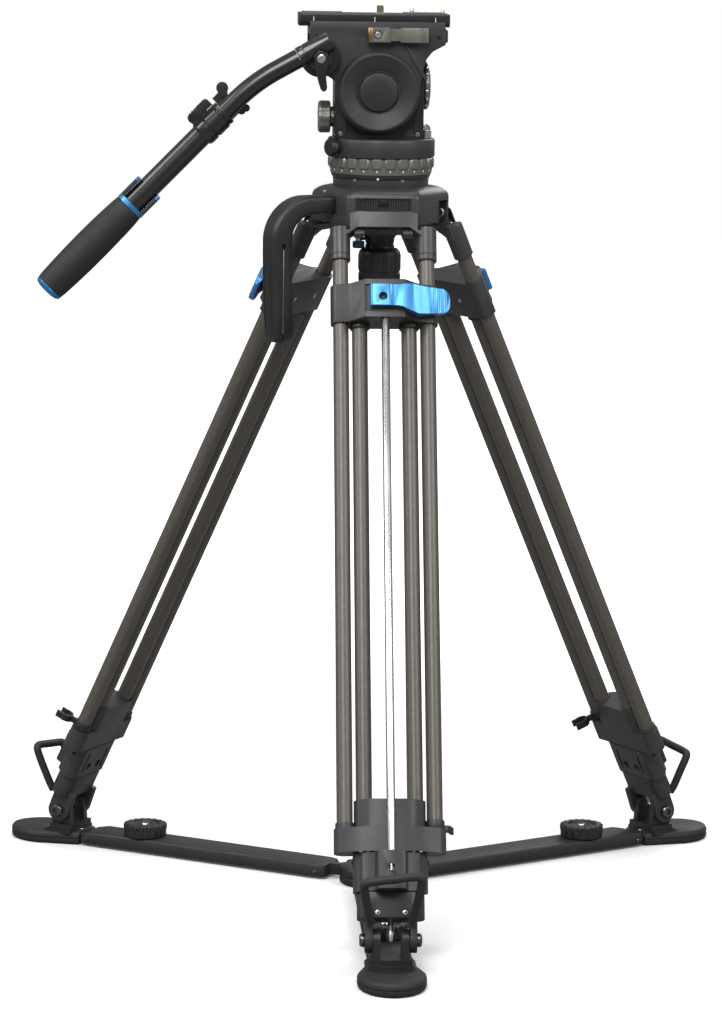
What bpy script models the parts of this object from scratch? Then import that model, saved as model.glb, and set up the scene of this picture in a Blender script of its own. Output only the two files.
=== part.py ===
"""Video camera tripod: fluid head with pan bar, 100 mm bowl, three twin-tube legs and a floor spreader.

Lengths here are millimetres and angles are degrees; every mesh is scaled to metres when it is made.
World frame: +Z up, origin on the floor under the hub, front leg towards -Y, the camera plate's length along X.
Leg frame: x across the leg, y inward, z up the leg, origin on the leg's hinge at the crown.
"""

import math

import bmesh
import bpy
from mathutils import Matrix, Vector

METRE = 0.001
GAP = 0.3
TUBE_SIDES = 16
ROUND_SIDES = 24
RING_SIDES = 32
SHARP_ANGLE = 35.0

# Tripod layout
LEG_AZIMUTHS = {"front": 0.0, "right": 120.0, "left": -120.0}
LEAN = 25.78
HINGE_RADIUS = 50.0
HINGE_HEIGHT = 731.0
HINGE_PIN_START = 15.0
ANKLE_DEPTH = 765.7
ANKLE_INSET = 5.9

# Leg tubes
OUTER_SPACING = 44.5
INNER_SPACING = 25.25
TUBE_RADIUS = 8.0
TUBE_WALL = 1.2
THIRD_RADIUS = 6.2
SOCKET_RADIUS = TUBE_RADIUS + GAP
GUIDE_RADIUS = TUBE_RADIUS + 0.45
ROD_RADIUS = 4.25
ROD_DEPTH = 21.6

# Leg stations, measured down the leg from the hinge
YOKE_TOP = 12.0
YOKE_BOTTOM = 38.0
SLEEVE_END = 61.6
COLLAR_TOP = 90.0
COLLAR_BOTTOM = 131.0
LEVER_TOP = 98.0
LEVER_STEP = 120.5
LEVER_BOTTOM = 130.5
GUIDE_TOP = 629.0
GUIDE_STEP = 657.0
GUIDE_BOTTOM = 681.5
CLAMP_TOP = 682.5
CLAMP_BOTTOM = 720.6
CASTING_TOP = 721.2
CASTING_BOTTOM = 747.0
THIRD_TOP = 300.0

# Half outlines of the leg castings: (across, outward) points from the front to the back
YOKE_HALF = [(25, 15), (52, 5), (52, -9)]
COLLAR_HALF = [(20, 27.5), (38, 13), (54.5, 10.5), (54.5, -11)]
GUIDE_NECK_HALF = [(24, 15), (35.5, 9), (35.5, -11)]
GUIDE_PLATE_HALF = [(36, 16.5), (55.5, 8), (55.5, -10)]
CLAMP_HALF = [(13, 27.5), (16, 15), (30, 15), (37, 9), (37, -11)]
CASTING_HALF = [(22, 14), (33, 8), (33, -12)]
LEVER_FRONT = [(28, 37), (47, 27), (66, 19), (66, 15), (45, 21), (25, 28.2)]
LEVER_PIVOT = (-12.0, 32.5)

# Foot and spreader, in the ankle frame: x across, y towards the hub, z up, floor at -ANKLE_HEIGHT
LEAN_COS = math.cos(math.radians(LEAN))
LEAN_SIN = math.sin(math.radians(LEAN))
ANKLE_HEIGHT = HINGE_HEIGHT - ANKLE_DEPTH * LEAN_COS - ANKLE_INSET * LEAN_SIN
ANKLE_RADIUS = HINGE_RADIUS + ANKLE_DEPTH * LEAN_SIN - ANKLE_INSET * LEAN_COS
SOLE_THICKNESS = 14.0
TOE_HALF_WIDTH = 34.0
TOE_LENGTH = 41.0
TOE_CENTRE = -30.0
ARM_BOTTOM = 3.0
ARM_TOP = 17.0
ARM_HALF_WIDTH = 20.0
ARM_OUTER_END = 345.0
ARM_INNER_END = 47.0
ARM_WALL = 2.6
ARM_CAVITY_HALF_WIDTH = 15.2
ARM_CAVITY_END = 85.0
TONGUE_HALF_WIDTH = 4.5
TONGUE_END = 29.0
KNOB_PLACE = 280.0
HUB_RADIUS = 33.0
HUB_TOP = 20.0
HUB_NOTCH = 26.5

# Crown, bowl and head
BOWL_CENTRE = 752.0
BALL_RADIUS = 49.9
CROWN_RADIUS = 73.0
CROWN_BOTTOM = 712.5
CROWN_SHOULDER = 741.0
CROWN_TOP = 749.7
HANDLE_AZIMUTH = -60.0
HANDLE_SECTION = [(-13, -8), (-10, -11), (10, -11), (13, -8), (13, 8), (10, 11), (-10, 11), (-13, 8)]
BOWL_RADIUS = 50.35
FLANGE_TOP = 761.5
RING_RADIUS = 55.5
DRUM_RADIUS = 56.0
DRUM_BOTTOM = 779.7
DRUM_TOP = 799.0
TILT_X = -6.0
TILT_Z = 848.0
BODY_HALF_DEPTH = 31.0
CHEEK_INNER = 33.0
CHEEK_OUTER = 40.0
PLATFORM_TOP = 914.0
PLATE_TOP = 928.0
PLATE_SPAN = (-88.0, 68.0)
COVER_RADIUS = 42.0

# Pan bar, in the plane y = BAR_PLANE
BAR_PLANE = -58.0
ROSETTE = (-66.5, 883.0)
UPPER_SLOPE = 29.0
LOWER_SLOPE = 45.5
BAR_CORNER = (-134.9, 856.8)
BAR_BEND_RADIUS = 190.0
BAR_RADIUS = 10.0
BAR_SLEEVE_RADIUS = 11.6
COLLAR_SPAN = (42.0, 76.0)
LOWER_TUBE_SPAN = (60.0, 294.0)
GRIP_SPAN = (176.6, 302.6)
GRIP_RADIUS = 16.0
GRIP_SWELL = 2.0
GRIP_CAP = 7.0

COLOURS = {
    "casting": ((0.030, 0.031, 0.033), 0.45, 0.3),
    "carbon": ((0.115, 0.100, 0.086), 0.35, 0.1),
    "bar_black": ((0.016, 0.016, 0.015), 0.22, 0.5),
    "rubber": ((0.018, 0.018, 0.018), 0.75, 0.0),
    "blue": ((0.060, 0.290, 0.640), 0.25, 0.9),
    "gunmetal": ((0.150, 0.145, 0.125), 0.40, 0.7),
    "plastic": ((0.022, 0.022, 0.023), 0.55, 0.0),
    "steel": ((0.600, 0.590, 0.570), 0.20, 1.0),
}


# ---- Building blocks ----


def clear_scene():
    for item in list(bpy.data.objects):
        bpy.data.objects.remove(item, do_unlink=True)


def material(name):
    found = bpy.data.materials.get(name)
    if found:
        return found
    colour, roughness, metallic = COLOURS[name]
    made = bpy.data.materials.new(name)
    made.use_nodes = True
    shader = made.node_tree.nodes["Principled BSDF"]
    shader.inputs["Base Color"].default_value = (*colour, 1.0)
    shader.inputs["Roughness"].default_value = roughness
    shader.inputs["Metallic"].default_value = metallic
    return made


def rings_mesh(rings):
    """A closed solid lofted through rings of points and capped at both ends."""
    mesh = bmesh.new()
    loops = [[mesh.verts.new(point) for point in ring] for ring in rings]
    for low, high in zip(loops, loops[1:]):
        for index in range(len(low)):
            after = (index + 1) % len(low)
            mesh.faces.new((low[index], low[after], high[after], high[index]))
    mesh.faces.new(list(reversed(loops[0])))
    mesh.faces.new(loops[-1])
    bmesh.ops.recalc_face_normals(mesh, faces=mesh.faces)
    return mesh


def turn(profile, sides=ROUND_SIDES, start=(0, 0, 0), towards=(0, 0, 1)):
    """Turns a (radius, height) profile about an axis, on which both its ends lie unless it closes on itself."""
    mesh = bmesh.new()
    on_axis = profile[0][0] == 0 and profile[-1][0] == 0
    rows = []
    for radius, height in profile:
        if radius == 0:
            rows.append([mesh.verts.new((0, 0, height))] * sides)
            continue
        angles = [2 * math.pi * index / sides for index in range(sides)]
        rows.append([mesh.verts.new((radius * math.cos(a), radius * math.sin(a), height)) for a in angles])
    last = len(rows) - 1 if on_axis else len(rows)
    for level in range(last):
        low = rows[level]
        high = rows[(level + 1) % len(rows)]
        for index in range(sides):
            after = (index + 1) % sides
            corners = []
            for vertex in (low[index], low[after], high[after], high[index]):
                if vertex not in corners:
                    corners.append(vertex)
            if len(corners) > 2:
                mesh.faces.new(corners)
    bmesh.ops.recalc_face_normals(mesh, faces=mesh.faces)
    turned = Vector((0, 0, 1)).rotation_difference(Vector(towards)).to_matrix().to_4x4()
    mesh.transform(Matrix.Translation(start) @ turned)
    return mesh


def rod(start, end, radius, sides=TUBE_SIDES):
    along = Vector(end) - Vector(start)
    profile = [(0, 0), (radius, 0), (radius, along.length), (0, along.length)]
    return turn(profile, sides, start, along.normalized())


def pipe(start, end, radius, bore, sides=TUBE_SIDES):
    along = Vector(end) - Vector(start)
    profile = [(bore, 0), (radius, 0), (radius, along.length), (bore, along.length)]
    return turn(profile, sides, start, along.normalized())


def prism(outline, low, high, axis="z"):
    """Extrudes an outline. It is given as (x, y) for axis z, (x, z) for axis y and (y, z) for axis x."""
    place = {
        "z": lambda a, b, level: (a, b, level),
        "y": lambda a, b, level: (a, level, b),
        "x": lambda a, b, level: (level, a, b),
    }[axis]
    return rings_mesh([[place(a, b, level) for a, b in outline] for level in (low, high)])


def box(low, high):
    outline = [(low[0], low[1]), (high[0], low[1]), (high[0], high[1]), (low[0], high[1])]
    return prism(outline, low[2], high[2])


def turned_about_axis(shape, azimuth):
    """Turns a shape about the tripod's own vertical axis."""
    matrix = Matrix.Rotation(math.radians(azimuth), 3, "Z")
    bmesh.ops.rotate(shape, cent=(0, 0, 0), matrix=matrix, verts=shape.verts)
    return shape


def arc(centre, radius, first, last, count):
    angles = [math.radians(first + (last - first) * index / (count - 1)) for index in range(count)]
    return [(centre[0] + radius * math.cos(a), centre[1] + radius * math.sin(a)) for a in angles]


def toothed_outline(radius, depth, count, points_per_tooth=4):
    """A round outline with shallow lobes, flat on top and between them."""
    outline = []
    for index in range(count * points_per_tooth):
        raised = index % points_per_tooth < points_per_tooth / 2
        angle = 2 * math.pi * index / (count * points_per_tooth)
        reach = radius if raised else radius - depth
        outline.append((reach * math.cos(angle), reach * math.sin(angle)))
    return outline


def solid(name, material_name, adds, cuts=(), origin=(0, 0, 0), parent=None):
    """Joins the added shapes, takes the cut shapes away, and sets the object's origin on its joint."""
    helpers = []
    for index, shape in enumerate([*adds, *cuts]):
        mesh = bpy.data.meshes.new(f"{name}_{index}")
        bmesh.ops.scale(shape, vec=(METRE,) * 3, verts=shape.verts)
        shape.to_mesh(mesh)
        shape.free()
        helper = bpy.data.objects.new(f"{name}_{index}", mesh)
        bpy.context.scene.collection.objects.link(helper)
        helpers.append(helper)
    base = helpers[0]
    for index, helper in enumerate(helpers[1:], start=1):
        helper.hide_render = True
        helper.display_type = "WIRE"
        step = base.modifiers.new(helper.name, "BOOLEAN")
        step.object = helper
        step.solver = "EXACT"
        step.operation = "UNION" if index < len(adds) else "DIFFERENCE"
    bpy.context.view_layer.update()
    evaluated = base.evaluated_get(bpy.context.evaluated_depsgraph_get())
    finished = bpy.data.meshes.new_from_object(evaluated)
    finished.name = name
    for helper in helpers:
        bpy.data.objects.remove(helper, do_unlink=True)
    finished.transform(Matrix.Translation([-METRE * value for value in origin]))
    finished.materials.clear()
    finished.materials.append(material(material_name))
    finished.shade_smooth()
    finished.set_sharp_from_angle(angle=math.radians(SHARP_ANGLE))
    return put(name, finished, origin, parent)


def put(name, mesh, origin, parent):
    made = bpy.data.objects.new(name, mesh)
    bpy.context.scene.collection.objects.link(made)
    made.parent = parent
    made.location = [METRE * value for value in origin]
    return made


def empty(name, origin, turned=(0, 0, 0), parent=None):
    made = put(name, None, origin, parent)
    made.rotation_euler = [math.radians(angle) for angle in turned]
    return made


def leg_point(across, outward, down):
    return (across, -outward, -down)


# ---- Leg castings and tubes, in the leg frame ----


def leg_prism(outline, top, bottom):
    """An outline of (across, outward) points between two stations down the leg."""
    return prism([(across, -outward) for across, outward in outline], -bottom, -top)


def mirrored(half):
    """Completes an outline whose points at +across are given from the front to the back."""
    return half + [(-across, outward) for across, outward in reversed(half)]


def both_sides(spacing, top, bottom, radius, sides=TUBE_SIDES):
    shapes = []
    for across in (-spacing, spacing):
        shapes.append(rod(leg_point(across, 0, top), leg_point(across, 0, bottom), radius, sides))
    return shapes


def leg_yoke():
    bridge = leg_prism(mirrored(YOKE_HALF), YOKE_TOP, YOKE_BOTTOM)
    under_crown = prism([(-11.3, -5), (-11.3, -30.5), (20, -16), (20, -5)], -60, 60, "x")
    ears = []
    for side in (-1, 1):
        top = [(y, z) for y, z in arc((0, 0), 8, 0, 180, 9)]
        inner, outer = sorted((side * 20, side * 30))
        ears.append(prism(top + [(-8, -22), (-9, -34), (4, -34), (8, -20)], inner, outer, "x"))
        ears.append(rod((side * HINGE_PIN_START, 0, 0), (side * 25, 0, 0), 4.8, 16))
    sleeves = both_sides(OUTER_SPACING, YOKE_TOP + 14, SLEEVE_END, 10.5)
    sockets = both_sides(OUTER_SPACING, YOKE_BOTTOM - 1, SLEEVE_END + 9, SOCKET_RADIUS)
    return [bridge_cut(bridge, under_crown), *ears, *sleeves], sockets


def bridge_cut(bridge, cutter):
    """Takes the crown's room out of the bridge before the ears that reach into the crown are added."""
    first = solid("bridge", "casting", [bridge], [cutter])
    cut = bmesh.new()
    cut.from_mesh(first.data)
    bmesh.ops.scale(cut, vec=(1 / METRE,) * 3, verts=cut.verts)
    bpy.data.objects.remove(first, do_unlink=True)
    return cut


def guide_block():
    neck = leg_prism(mirrored(GUIDE_NECK_HALF), GUIDE_TOP, GUIDE_STEP + 1)
    plate = leg_prism(mirrored(GUIDE_PLATE_HALF), GUIDE_STEP, GUIDE_BOTTOM)
    bores = both_sides(INNER_SPACING, GUIDE_TOP - 9, GUIDE_BOTTOM + 9, GUIDE_RADIUS)
    sockets = both_sides(OUTER_SPACING, GUIDE_STEP - 9, GUIDE_BOTTOM - 5, SOCKET_RADIUS)
    return [neck, plate], bores + sockets


def middle_collar():
    body = leg_prism(mirrored(COLLAR_HALF), COLLAR_TOP, COLLAR_BOTTOM)
    bores = both_sides(OUTER_SPACING, COLLAR_TOP - 9, COLLAR_BOTTOM + 9, GUIDE_RADIUS)
    sockets = both_sides(INNER_SPACING, COLLAR_TOP + 7, COLLAR_BOTTOM + 9, SOCKET_RADIUS)
    socket_ends = [leg_point(0, ROD_DEPTH, station) for station in (COLLAR_BOTTOM - 13, COLLAR_BOTTOM + 9)]
    rod_socket = rod(*socket_ends, 4.6, 16)
    return [body], [*bores, *sockets, rod_socket]


def cam_lever():
    left_end = arc(LEVER_PIVOT, 4.5, 270, 90, 7)
    body = leg_prism(LEVER_FRONT + left_end, LEVER_TOP, LEVER_BOTTOM)
    step = [(-30, -LEVER_STEP), (16, -LEVER_STEP), (34, -LEVER_BOTTOM - 1), (34, -140), (-30, -140)]
    below_block = prism(step, -60, -10, "y")
    return [body], [below_block]


def rod_clamp():
    body = leg_prism(mirrored(CLAMP_HALF), CLAMP_TOP, CLAMP_BOTTOM)
    rod_ends = [leg_point(0, ROD_DEPTH, station) for station in (COLLAR_BOTTOM - 12, CLAMP_BOTTOM - 10)]
    control_rod = rod(*rod_ends, ROD_RADIUS, 16)
    sockets = both_sides(INNER_SPACING, CLAMP_TOP - 9, CLAMP_BOTTOM - 4, SOCKET_RADIUS)
    bores = both_sides(INNER_SPACING, CLAMP_BOTTOM - 9, CLAMP_BOTTOM + 9, THIRD_RADIUS + 0.5)
    return [body, control_rod], sockets + bores


def foot_section():
    casting = leg_prism(mirrored(CASTING_HALF), CASTING_TOP, CASTING_BOTTOM)
    ankle = (ANKLE_INSET, -ANKLE_DEPTH)
    ears = []
    for side in (-1, 1):
        inner, outer = sorted((side * 18.3, side * 25.5))
        outline = arc(ankle, 12.5, 180, 360, 11) + [(16, -CASTING_BOTTOM + 6), (-8, -CASTING_BOTTOM + 6)]
        ears.append(prism(outline, inner, outer, "x"))
    thirds = both_sides(INNER_SPACING, THIRD_TOP, CASTING_TOP + 8, THIRD_RADIUS, 16)
    spike_profile = [(0, 0), (2.5, 0), (4.2, 3), (4.2, 8), (3.2, 10), (3.2, 30), (0, 30)]
    spike = turn(spike_profile, 16, (0, ANKLE_INSET - 1, -ANKLE_DEPTH - 2), (0, 0, 1))
    pins = []
    for side in (-1, 1):
        pins.append(rod((side * 11, *ankle), (side * 24, *ankle), 4.0, 16))
        pins.append(rod((side * 25, *ankle), (side * 30.5, *ankle), 7.8))
    return [casting, *ears, *thirds, spike, *pins], []


# ---- Foot pad and spreader, in the ankle frame ----


def floor_level(height):
    return height - ANKLE_HEIGHT


def from_hub(radius):
    return ANKLE_RADIUS - radius


def foot_pad():
    half_round = arc((0, 0), TOE_HALF_WIDTH, 180, 360, 15)
    toe = [(x, TOE_CENTRE + y * TOE_LENGTH / TOE_HALF_WIDTH) for x, y in half_round]
    heel = [(34, -25), (22, 14), (19, 23), (-19, 23), (-22, 14), (-34, -25)]
    bottom, top = floor_level(0), floor_level(SOLE_THICKNESS)
    rings = []
    for grow, height in ((0.93, bottom), (1, bottom + 4), (1, top - 4), (0.95, top)):
        rings.append([(x * grow, y, height) for x, y in toe + heel])
    sole = rings_mesh(rings)
    block = box((-21, -13, top - 1), (21, 15, top + 8))
    cheeks = []
    for side in (-1, 1):
        inner, outer = sorted((side * 10.6, side * 17.7))
        cheeks.append(prism(arc((0, 0), 11, 0, 180, 9) + [(-12, top + 2), (12, top + 2)], inner, outer, "x"))
    bore = rod((-40, 0, 0), (40, 0, 0), 4.4, 16)
    room = rod((-10.5, 0, 0), (10.5, 0, 0), 14, 24)
    stem = box((-14.5, 18, floor_level(ARM_BOTTOM + 3.5)), (14.5, from_hub(200), floor_level(ARM_TOP - 3.5)))
    return [sole, block, *cheeks, stem], [bore, room]


def arm_channel():
    outer = arm_box(ARM_HALF_WIDTH, ARM_OUTER_END, ARM_INNER_END, 0)
    tongue = arm_box(TONGUE_HALF_WIDTH, ARM_INNER_END + 2, TONGUE_END, 1)
    cavity = arm_box(ARM_CAVITY_HALF_WIDTH, ARM_OUTER_END + 5, ARM_CAVITY_END, ARM_WALL)
    return [outer, tongue], [cavity]


def arm_box(half_width, outer_end, inner_end, inset):
    """A block along the arm between two distances from the hub, held in from its top and bottom faces."""
    low = (-half_width, from_hub(outer_end), floor_level(ARM_BOTTOM + inset))
    high = (half_width, from_hub(inner_end), floor_level(ARM_TOP - inset))
    return box(low, high)


def arm_knob():
    teeth = prism(toothed_outline(24, 2.6, 16), floor_level(ARM_TOP + 5), floor_level(ARM_TOP + 14))
    foot = turn([(0, 0), (19, 0), (19, 6), (0, 6)], 24, (0, 0, floor_level(ARM_TOP + 0.5)))
    for shape in (teeth, foot):
        bmesh.ops.translate(shape, vec=(0, from_hub(KNOB_PLACE), 0), verts=shape.verts)
    return [teeth, foot], []


def make_spreader_hub():
    rim = [(HUB_RADIUS - 2, 0), (HUB_RADIUS, 2), (HUB_RADIUS, 17), (HUB_RADIUS - 3, HUB_TOP)]
    disc = turn([(0, 0), *rim, (0, HUB_TOP)], 36)
    notches = []
    for azimuth in LEG_AZIMUTHS.values():
        notch = box((-5.4, -60, -5), (5.4, -HUB_NOTCH, 30))
        notches.append(turned_about_axis(notch, azimuth))
    solid("spreader_hub", "plastic", [disc], notches)


# ---- Legs placed on the crown ----


def make_legs():
    """Each leg piece is modelled once, and the other two legs share its mesh."""
    leg_pieces = {
        "leg_yoke": ("casting", leg_yoke(), (0, 0, 0)),
        "guide_block": ("casting", guide_block(), (0, 0, 0)),
        "middle_collar": ("casting", middle_collar(), (0, 0, 0)),
        "cam_lever": ("blue", cam_lever(), leg_point(*LEVER_PIVOT, LEVER_TOP)),
        "rod_clamp": ("casting", rod_clamp(), (0, 0, 0)),
        "foot_section": ("casting", foot_section(), (0, 0, 0)),
    }
    for side, across in (("left", -1), ("right", 1)):
        for stage, spacing, top, bottom in (
            ("upper", OUTER_SPACING, YOKE_BOTTOM - 0.6, GUIDE_BOTTOM - 5.5),
            ("middle", INNER_SPACING, COLLAR_TOP + 7.5, CLAMP_BOTTOM - 4.5),
        ):
            ends = [leg_point(across * spacing, 0, station) for station in (top, bottom)]
            shape = pipe(*ends, TUBE_RADIUS, TUBE_RADIUS - TUBE_WALL)
            leg_pieces[f"{stage}_tube_{side}"] = ("carbon", ([shape], []), (0, 0, 0))
    foot_pieces = {
        "foot_pad": ("rubber", foot_pad(), (0, 0, 0)),
        "arm_channel": ("plastic", arm_channel(), (0, 0, 0)),
        "arm_knob": ("plastic", arm_knob(), (0, from_hub(KNOB_PLACE), 0)),
    }
    shared = {}
    for leg, azimuth in LEG_AZIMUTHS.items():
        angle = math.radians(azimuth)
        hinge = (HINGE_RADIUS * math.sin(angle), -HINGE_RADIUS * math.cos(angle), HINGE_HEIGHT)
        leg_frame = empty(f"{leg}_leg_hinge", hinge, (-LEAN, 0, azimuth))
        ankle = empty(f"{leg}_ankle", leg_point(0, -ANKLE_INSET, ANKLE_DEPTH), (LEAN, 0, 0), leg_frame)
        for pieces, frame in ((leg_pieces, leg_frame), (foot_pieces, ankle)):
            for piece, (finish, (adds, cuts), origin) in pieces.items():
                name = f"{leg}_{piece}"
                if piece in shared:
                    put(name, shared[piece], origin, frame)
                else:
                    shared[piece] = solid(name, finish, adds, cuts, origin, frame).data


# ---- Crown ----


def make_crown():
    rings = []
    wall = ((CROWN_RADIUS, CROWN_BOTTOM), (CROWN_RADIUS, CROWN_SHOULDER), (CROWN_RADIUS - 11, CROWN_TOP))
    for reach, height in wall:
        rings.append([(x, y, height) for x, y in arc((0, 0), reach, 0, 300, 6)])
    bowl = [(0, 717)]
    for height in (717, 724, 731, 738, 745, BOWL_CENTRE):
        bowl.append((sphere_reach(BOWL_RADIUS, height), height))
    bowl += [(BOWL_RADIUS, 760), (0, 760)]
    cuts = [turn(bowl, RING_SIDES), rod((0, 0, 700), (0, 0, 720), 14)]
    for azimuth in LEG_AZIMUTHS.values():
        shapes = []
        for side in (-1, 1):
            ends = [(side * across, -HINGE_RADIUS, HINGE_HEIGHT) for across in (HINGE_PIN_START - GAP, 25)]
            shapes.append(rod(*ends, 5.1, 16))
            inner, outer = sorted((side * 19, side * 31))
            shapes.append(box((inner, -58.7, 700), (outer, -40.5, 740.5)))
            shapes.append(box((inner + 0.01, -90, 699), (outer - 0.01, -46, 735.5)))
        cuts += [turned_about_axis(shape, azimuth) for shape in shapes]
    solid("crown", "casting", [rings_mesh(rings)], cuts)


def make_carry_handle():
    """A flat curved grip that leaves the crown between the left and front legs and hangs down."""
    centre, bend = (90, 697), 36
    middle = [(64.5, 733), (78, 733)] + arc(centre, bend, 90, 0, 8) + [(126, 660), (124, 625), (120, 592)]
    rings = []
    for index, (reach, height) in enumerate(middle):
        before = Vector(middle[max(index - 1, 0)])
        after = Vector(middle[min(index + 1, len(middle) - 1)])
        along = (after - before).normalized()
        side = Vector((along.y, -along.x))
        ring = []
        for width, thick in HANDLE_SECTION:
            ring.append((width, -(reach - side.x * thick), height - side.y * thick))
        rings.append(ring)
    solid("carry_handle", "plastic", [turned_about_axis(rings_mesh(rings), HANDLE_AZIMUTH)])


def sphere_reach(radius, height):
    """How far from the axis a sphere on the bowl's centre reaches at this height."""
    return math.sqrt(radius**2 - (BOWL_CENTRE - height) ** 2)


def make_bowl_ball():
    profile = [(0, 676), (5, 676), (5, 722)]
    for height in (722, 730, 738, 745, BOWL_CENTRE, 757):
        profile.append((sphere_reach(BALL_RADIUS, height), height))
    boss_top = DRUM_BOTTOM - 0.4
    profile += [(52, 760), (52, FLANGE_TOP), (30, FLANGE_TOP), (30, boss_top), (0, boss_top)]
    solid("bowl_ball", "casting", [turn(profile, RING_SIDES)], origin=(0, 0, BOWL_CENTRE))


def make_tie_down_knob():
    handle = [(0, 646.5), (20, 646.5), (22, 650), (22, 679), (18, 683)]
    neck = [(12.5, 683), (12.5, 694), (20, 699), (20, 708)]
    stud_bore = [(5.6, 708), (5.6, 673), (0, 673)]
    profile = handle + neck + stud_bore
    solid("tie_down_knob", "plastic", [turn(profile)], origin=(0, 0, 680))


# ---- Fluid head ----


def make_pan_drag_ring():
    lobes = prism(toothed_outline(RING_RADIUS, 2.2, 24), 767.5, DRUM_BOTTOM - 0.4)
    skirt = turn([(0, 762), (52.6, 762), (53.4, 768.5), (0, 768.5)], RING_SIDES)
    bore = rod((0, 0, 750), (0, 0, 790), 31, RING_SIDES)
    solid("pan_drag_ring", "gunmetal", [lobes, skirt], [bore], origin=(0, 0, 770))


def make_pan_base():
    rim = [(55, DRUM_BOTTOM), (DRUM_RADIUS, 781), (DRUM_RADIUS, 798), (55, DRUM_TOP)]
    drum = turn([(0, DRUM_BOTTOM), *rim, (0, DRUM_TOP)], RING_SIDES)
    outline = [(-50, 798), (42, 798), (42, 858), (30, 880), (-42, 880), (-50, 862)]
    body = prism(outline, -BODY_HALF_DEPTH, BODY_HALF_DEPTH, "y")
    bores = [rod((TILT_X, side * 25, TILT_Z), (TILT_X, side * 40, TILT_Z), 9.4) for side in (-1, 1)]
    solid("pan_base", "casting", [drum, body], bores, origin=(0, 0, DRUM_BOTTOM))


def make_tilt_platform():
    web = box((-77, -34, PLATFORM_TOP - 8), (63, 34, PLATFORM_TOP))
    left_edge = [(-77, PLATFORM_TOP), (-77, 880), (-62, 866), (-50, 858)]
    right_edge = [(38, 860), (43.5, 882), (58, 894), (63, 897), (63, PLATFORM_TOP)]
    outline = left_edge + arc((TILT_X, TILT_Z), 43, 180, 360, 15) + right_edge
    adds = [web]
    for side in (-1, 1):
        inner, outer = sorted((side * CHEEK_INNER, side * CHEEK_OUTER))
        adds.append(prism(outline, inner, outer, "y"))
        adds.append(rod((TILT_X, side * 26, TILT_Z), (TILT_X, side * 35, TILT_Z), 9))
    solid("tilt_platform", "casting", adds, origin=(TILT_X, 0, TILT_Z))


def make_camera_plate():
    right_side = [(24, PLATFORM_TOP + GAP), (27, 918), (27, 926.5), (25.5, PLATE_TOP)]
    left_side = [(-y, z) for y, z in reversed(right_side)]
    plate = prism(right_side + left_side, *PLATE_SPAN, "x")
    solid("camera_plate", "casting", [plate], origin=(0, 0, PLATFORM_TOP))


def make_plate_lever():
    pivot = (-13, -46.4)
    end = arc(pivot, 5.6, 90, 270, 7)
    outline = end + [(6, -52), (14, -48), (30, -48), (45, -52), (45, -45.5), (10, -41.5)]
    solid("plate_lever", "gunmetal", [prism(outline, 896, 911)], origin=(*pivot, 903))


def make_tilt_covers():
    axis_start = (TILT_X, -CHEEK_OUTER - GAP, TILT_Z)
    rim = [(COVER_RADIUS, 0), (COVER_RADIUS, 9), (40, 13.5), (38, 13.5)]
    recess_and_cap = [(22, 7.5), (20, 7.5), (20, 11), (0, 12)]
    cover = [(0, 0)] + rim + recess_and_cap
    shape = turn(cover, RING_SIDES, axis_start, (0, -1, 0))
    solid("tilt_cover", "plastic", [shape], origin=(TILT_X, 0, TILT_Z))
    ring = prism(toothed_outline(40, 2, 20), CHEEK_OUTER + GAP, CHEEK_OUTER + 14, "y")
    bmesh.ops.translate(ring, vec=(TILT_X, 0, TILT_Z), verts=ring.verts)
    cap = rod((TILT_X, CHEEK_OUTER + 12, TILT_Z), (TILT_X, CHEEK_OUTER + 18, TILT_Z), 26, ROUND_SIDES)
    solid("tilt_drag_ring", "gunmetal", [ring, cap], origin=(TILT_X, 0, TILT_Z))


def make_body_knobs():
    dial = [(0, 0), (22, 0), (24, 1.5), (24, 5), (21, 7.7), (0, 7.7)]
    dial_place = (42.3, 0, 853)
    solid("counterbalance_dial", "gunmetal", [turn(dial, ROUND_SIDES, dial_place, (1, 0, 0))], origin=dial_place)
    tilt_knob = [(0, 0), (11, 0), (11, 3), (17, 4), (17, 14.5), (15.5, 16), (0, 16)]
    knob_place = (-50.3, 0, 820)
    solid("tilt_brake_knob", "gunmetal", [turn(tilt_knob, 24, knob_place, (-1, 0, 0))], origin=knob_place)
    outward = Vector((-0.85, -0.527, 0)).normalized()
    pan_knob = [(0, 0), (6, 0), (6, 2), (9, 3), (9, 9.5), (8, 10.5), (0, 10.5)]
    start = outward * (DRUM_RADIUS + GAP) + Vector((0, 0, 790))
    solid("pan_brake_knob", "plastic", [turn(pan_knob, 20, start, outward)], origin=tuple(start))


# ---- Pan bar ----


def bar_direction(slope):
    return Vector((-math.cos(math.radians(slope)), 0, -math.sin(math.radians(slope))))


BAR_KNEE = Vector((BAR_CORNER[0], BAR_PLANE, BAR_CORNER[1]))
BAR_UP = -bar_direction(UPPER_SLOPE)
BAR_DOWN = bar_direction(LOWER_SLOPE)


def along_lower_bar(distance):
    return BAR_KNEE + BAR_DOWN * distance


def bar_path():
    """The upper tube's middle line: straight, a gentle bend, then straight inside the lower tube."""
    half_turn = math.radians(LOWER_SLOPE - UPPER_SLOPE) / 2
    inward = (BAR_DOWN + BAR_UP).normalized()
    centre = BAR_KNEE + inward * (BAR_BEND_RADIUS / math.cos(half_turn))
    points = [BAR_KNEE + BAR_UP * 53]
    for index in range(7):
        slope = UPPER_SLOPE + (LOWER_SLOPE - UPPER_SLOPE) * index / 6
        across = bar_direction(slope).cross(Vector((0, 1, 0)))
        points.append(centre - across * BAR_BEND_RADIUS)
    points.append(along_lower_bar(188))
    return points


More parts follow.
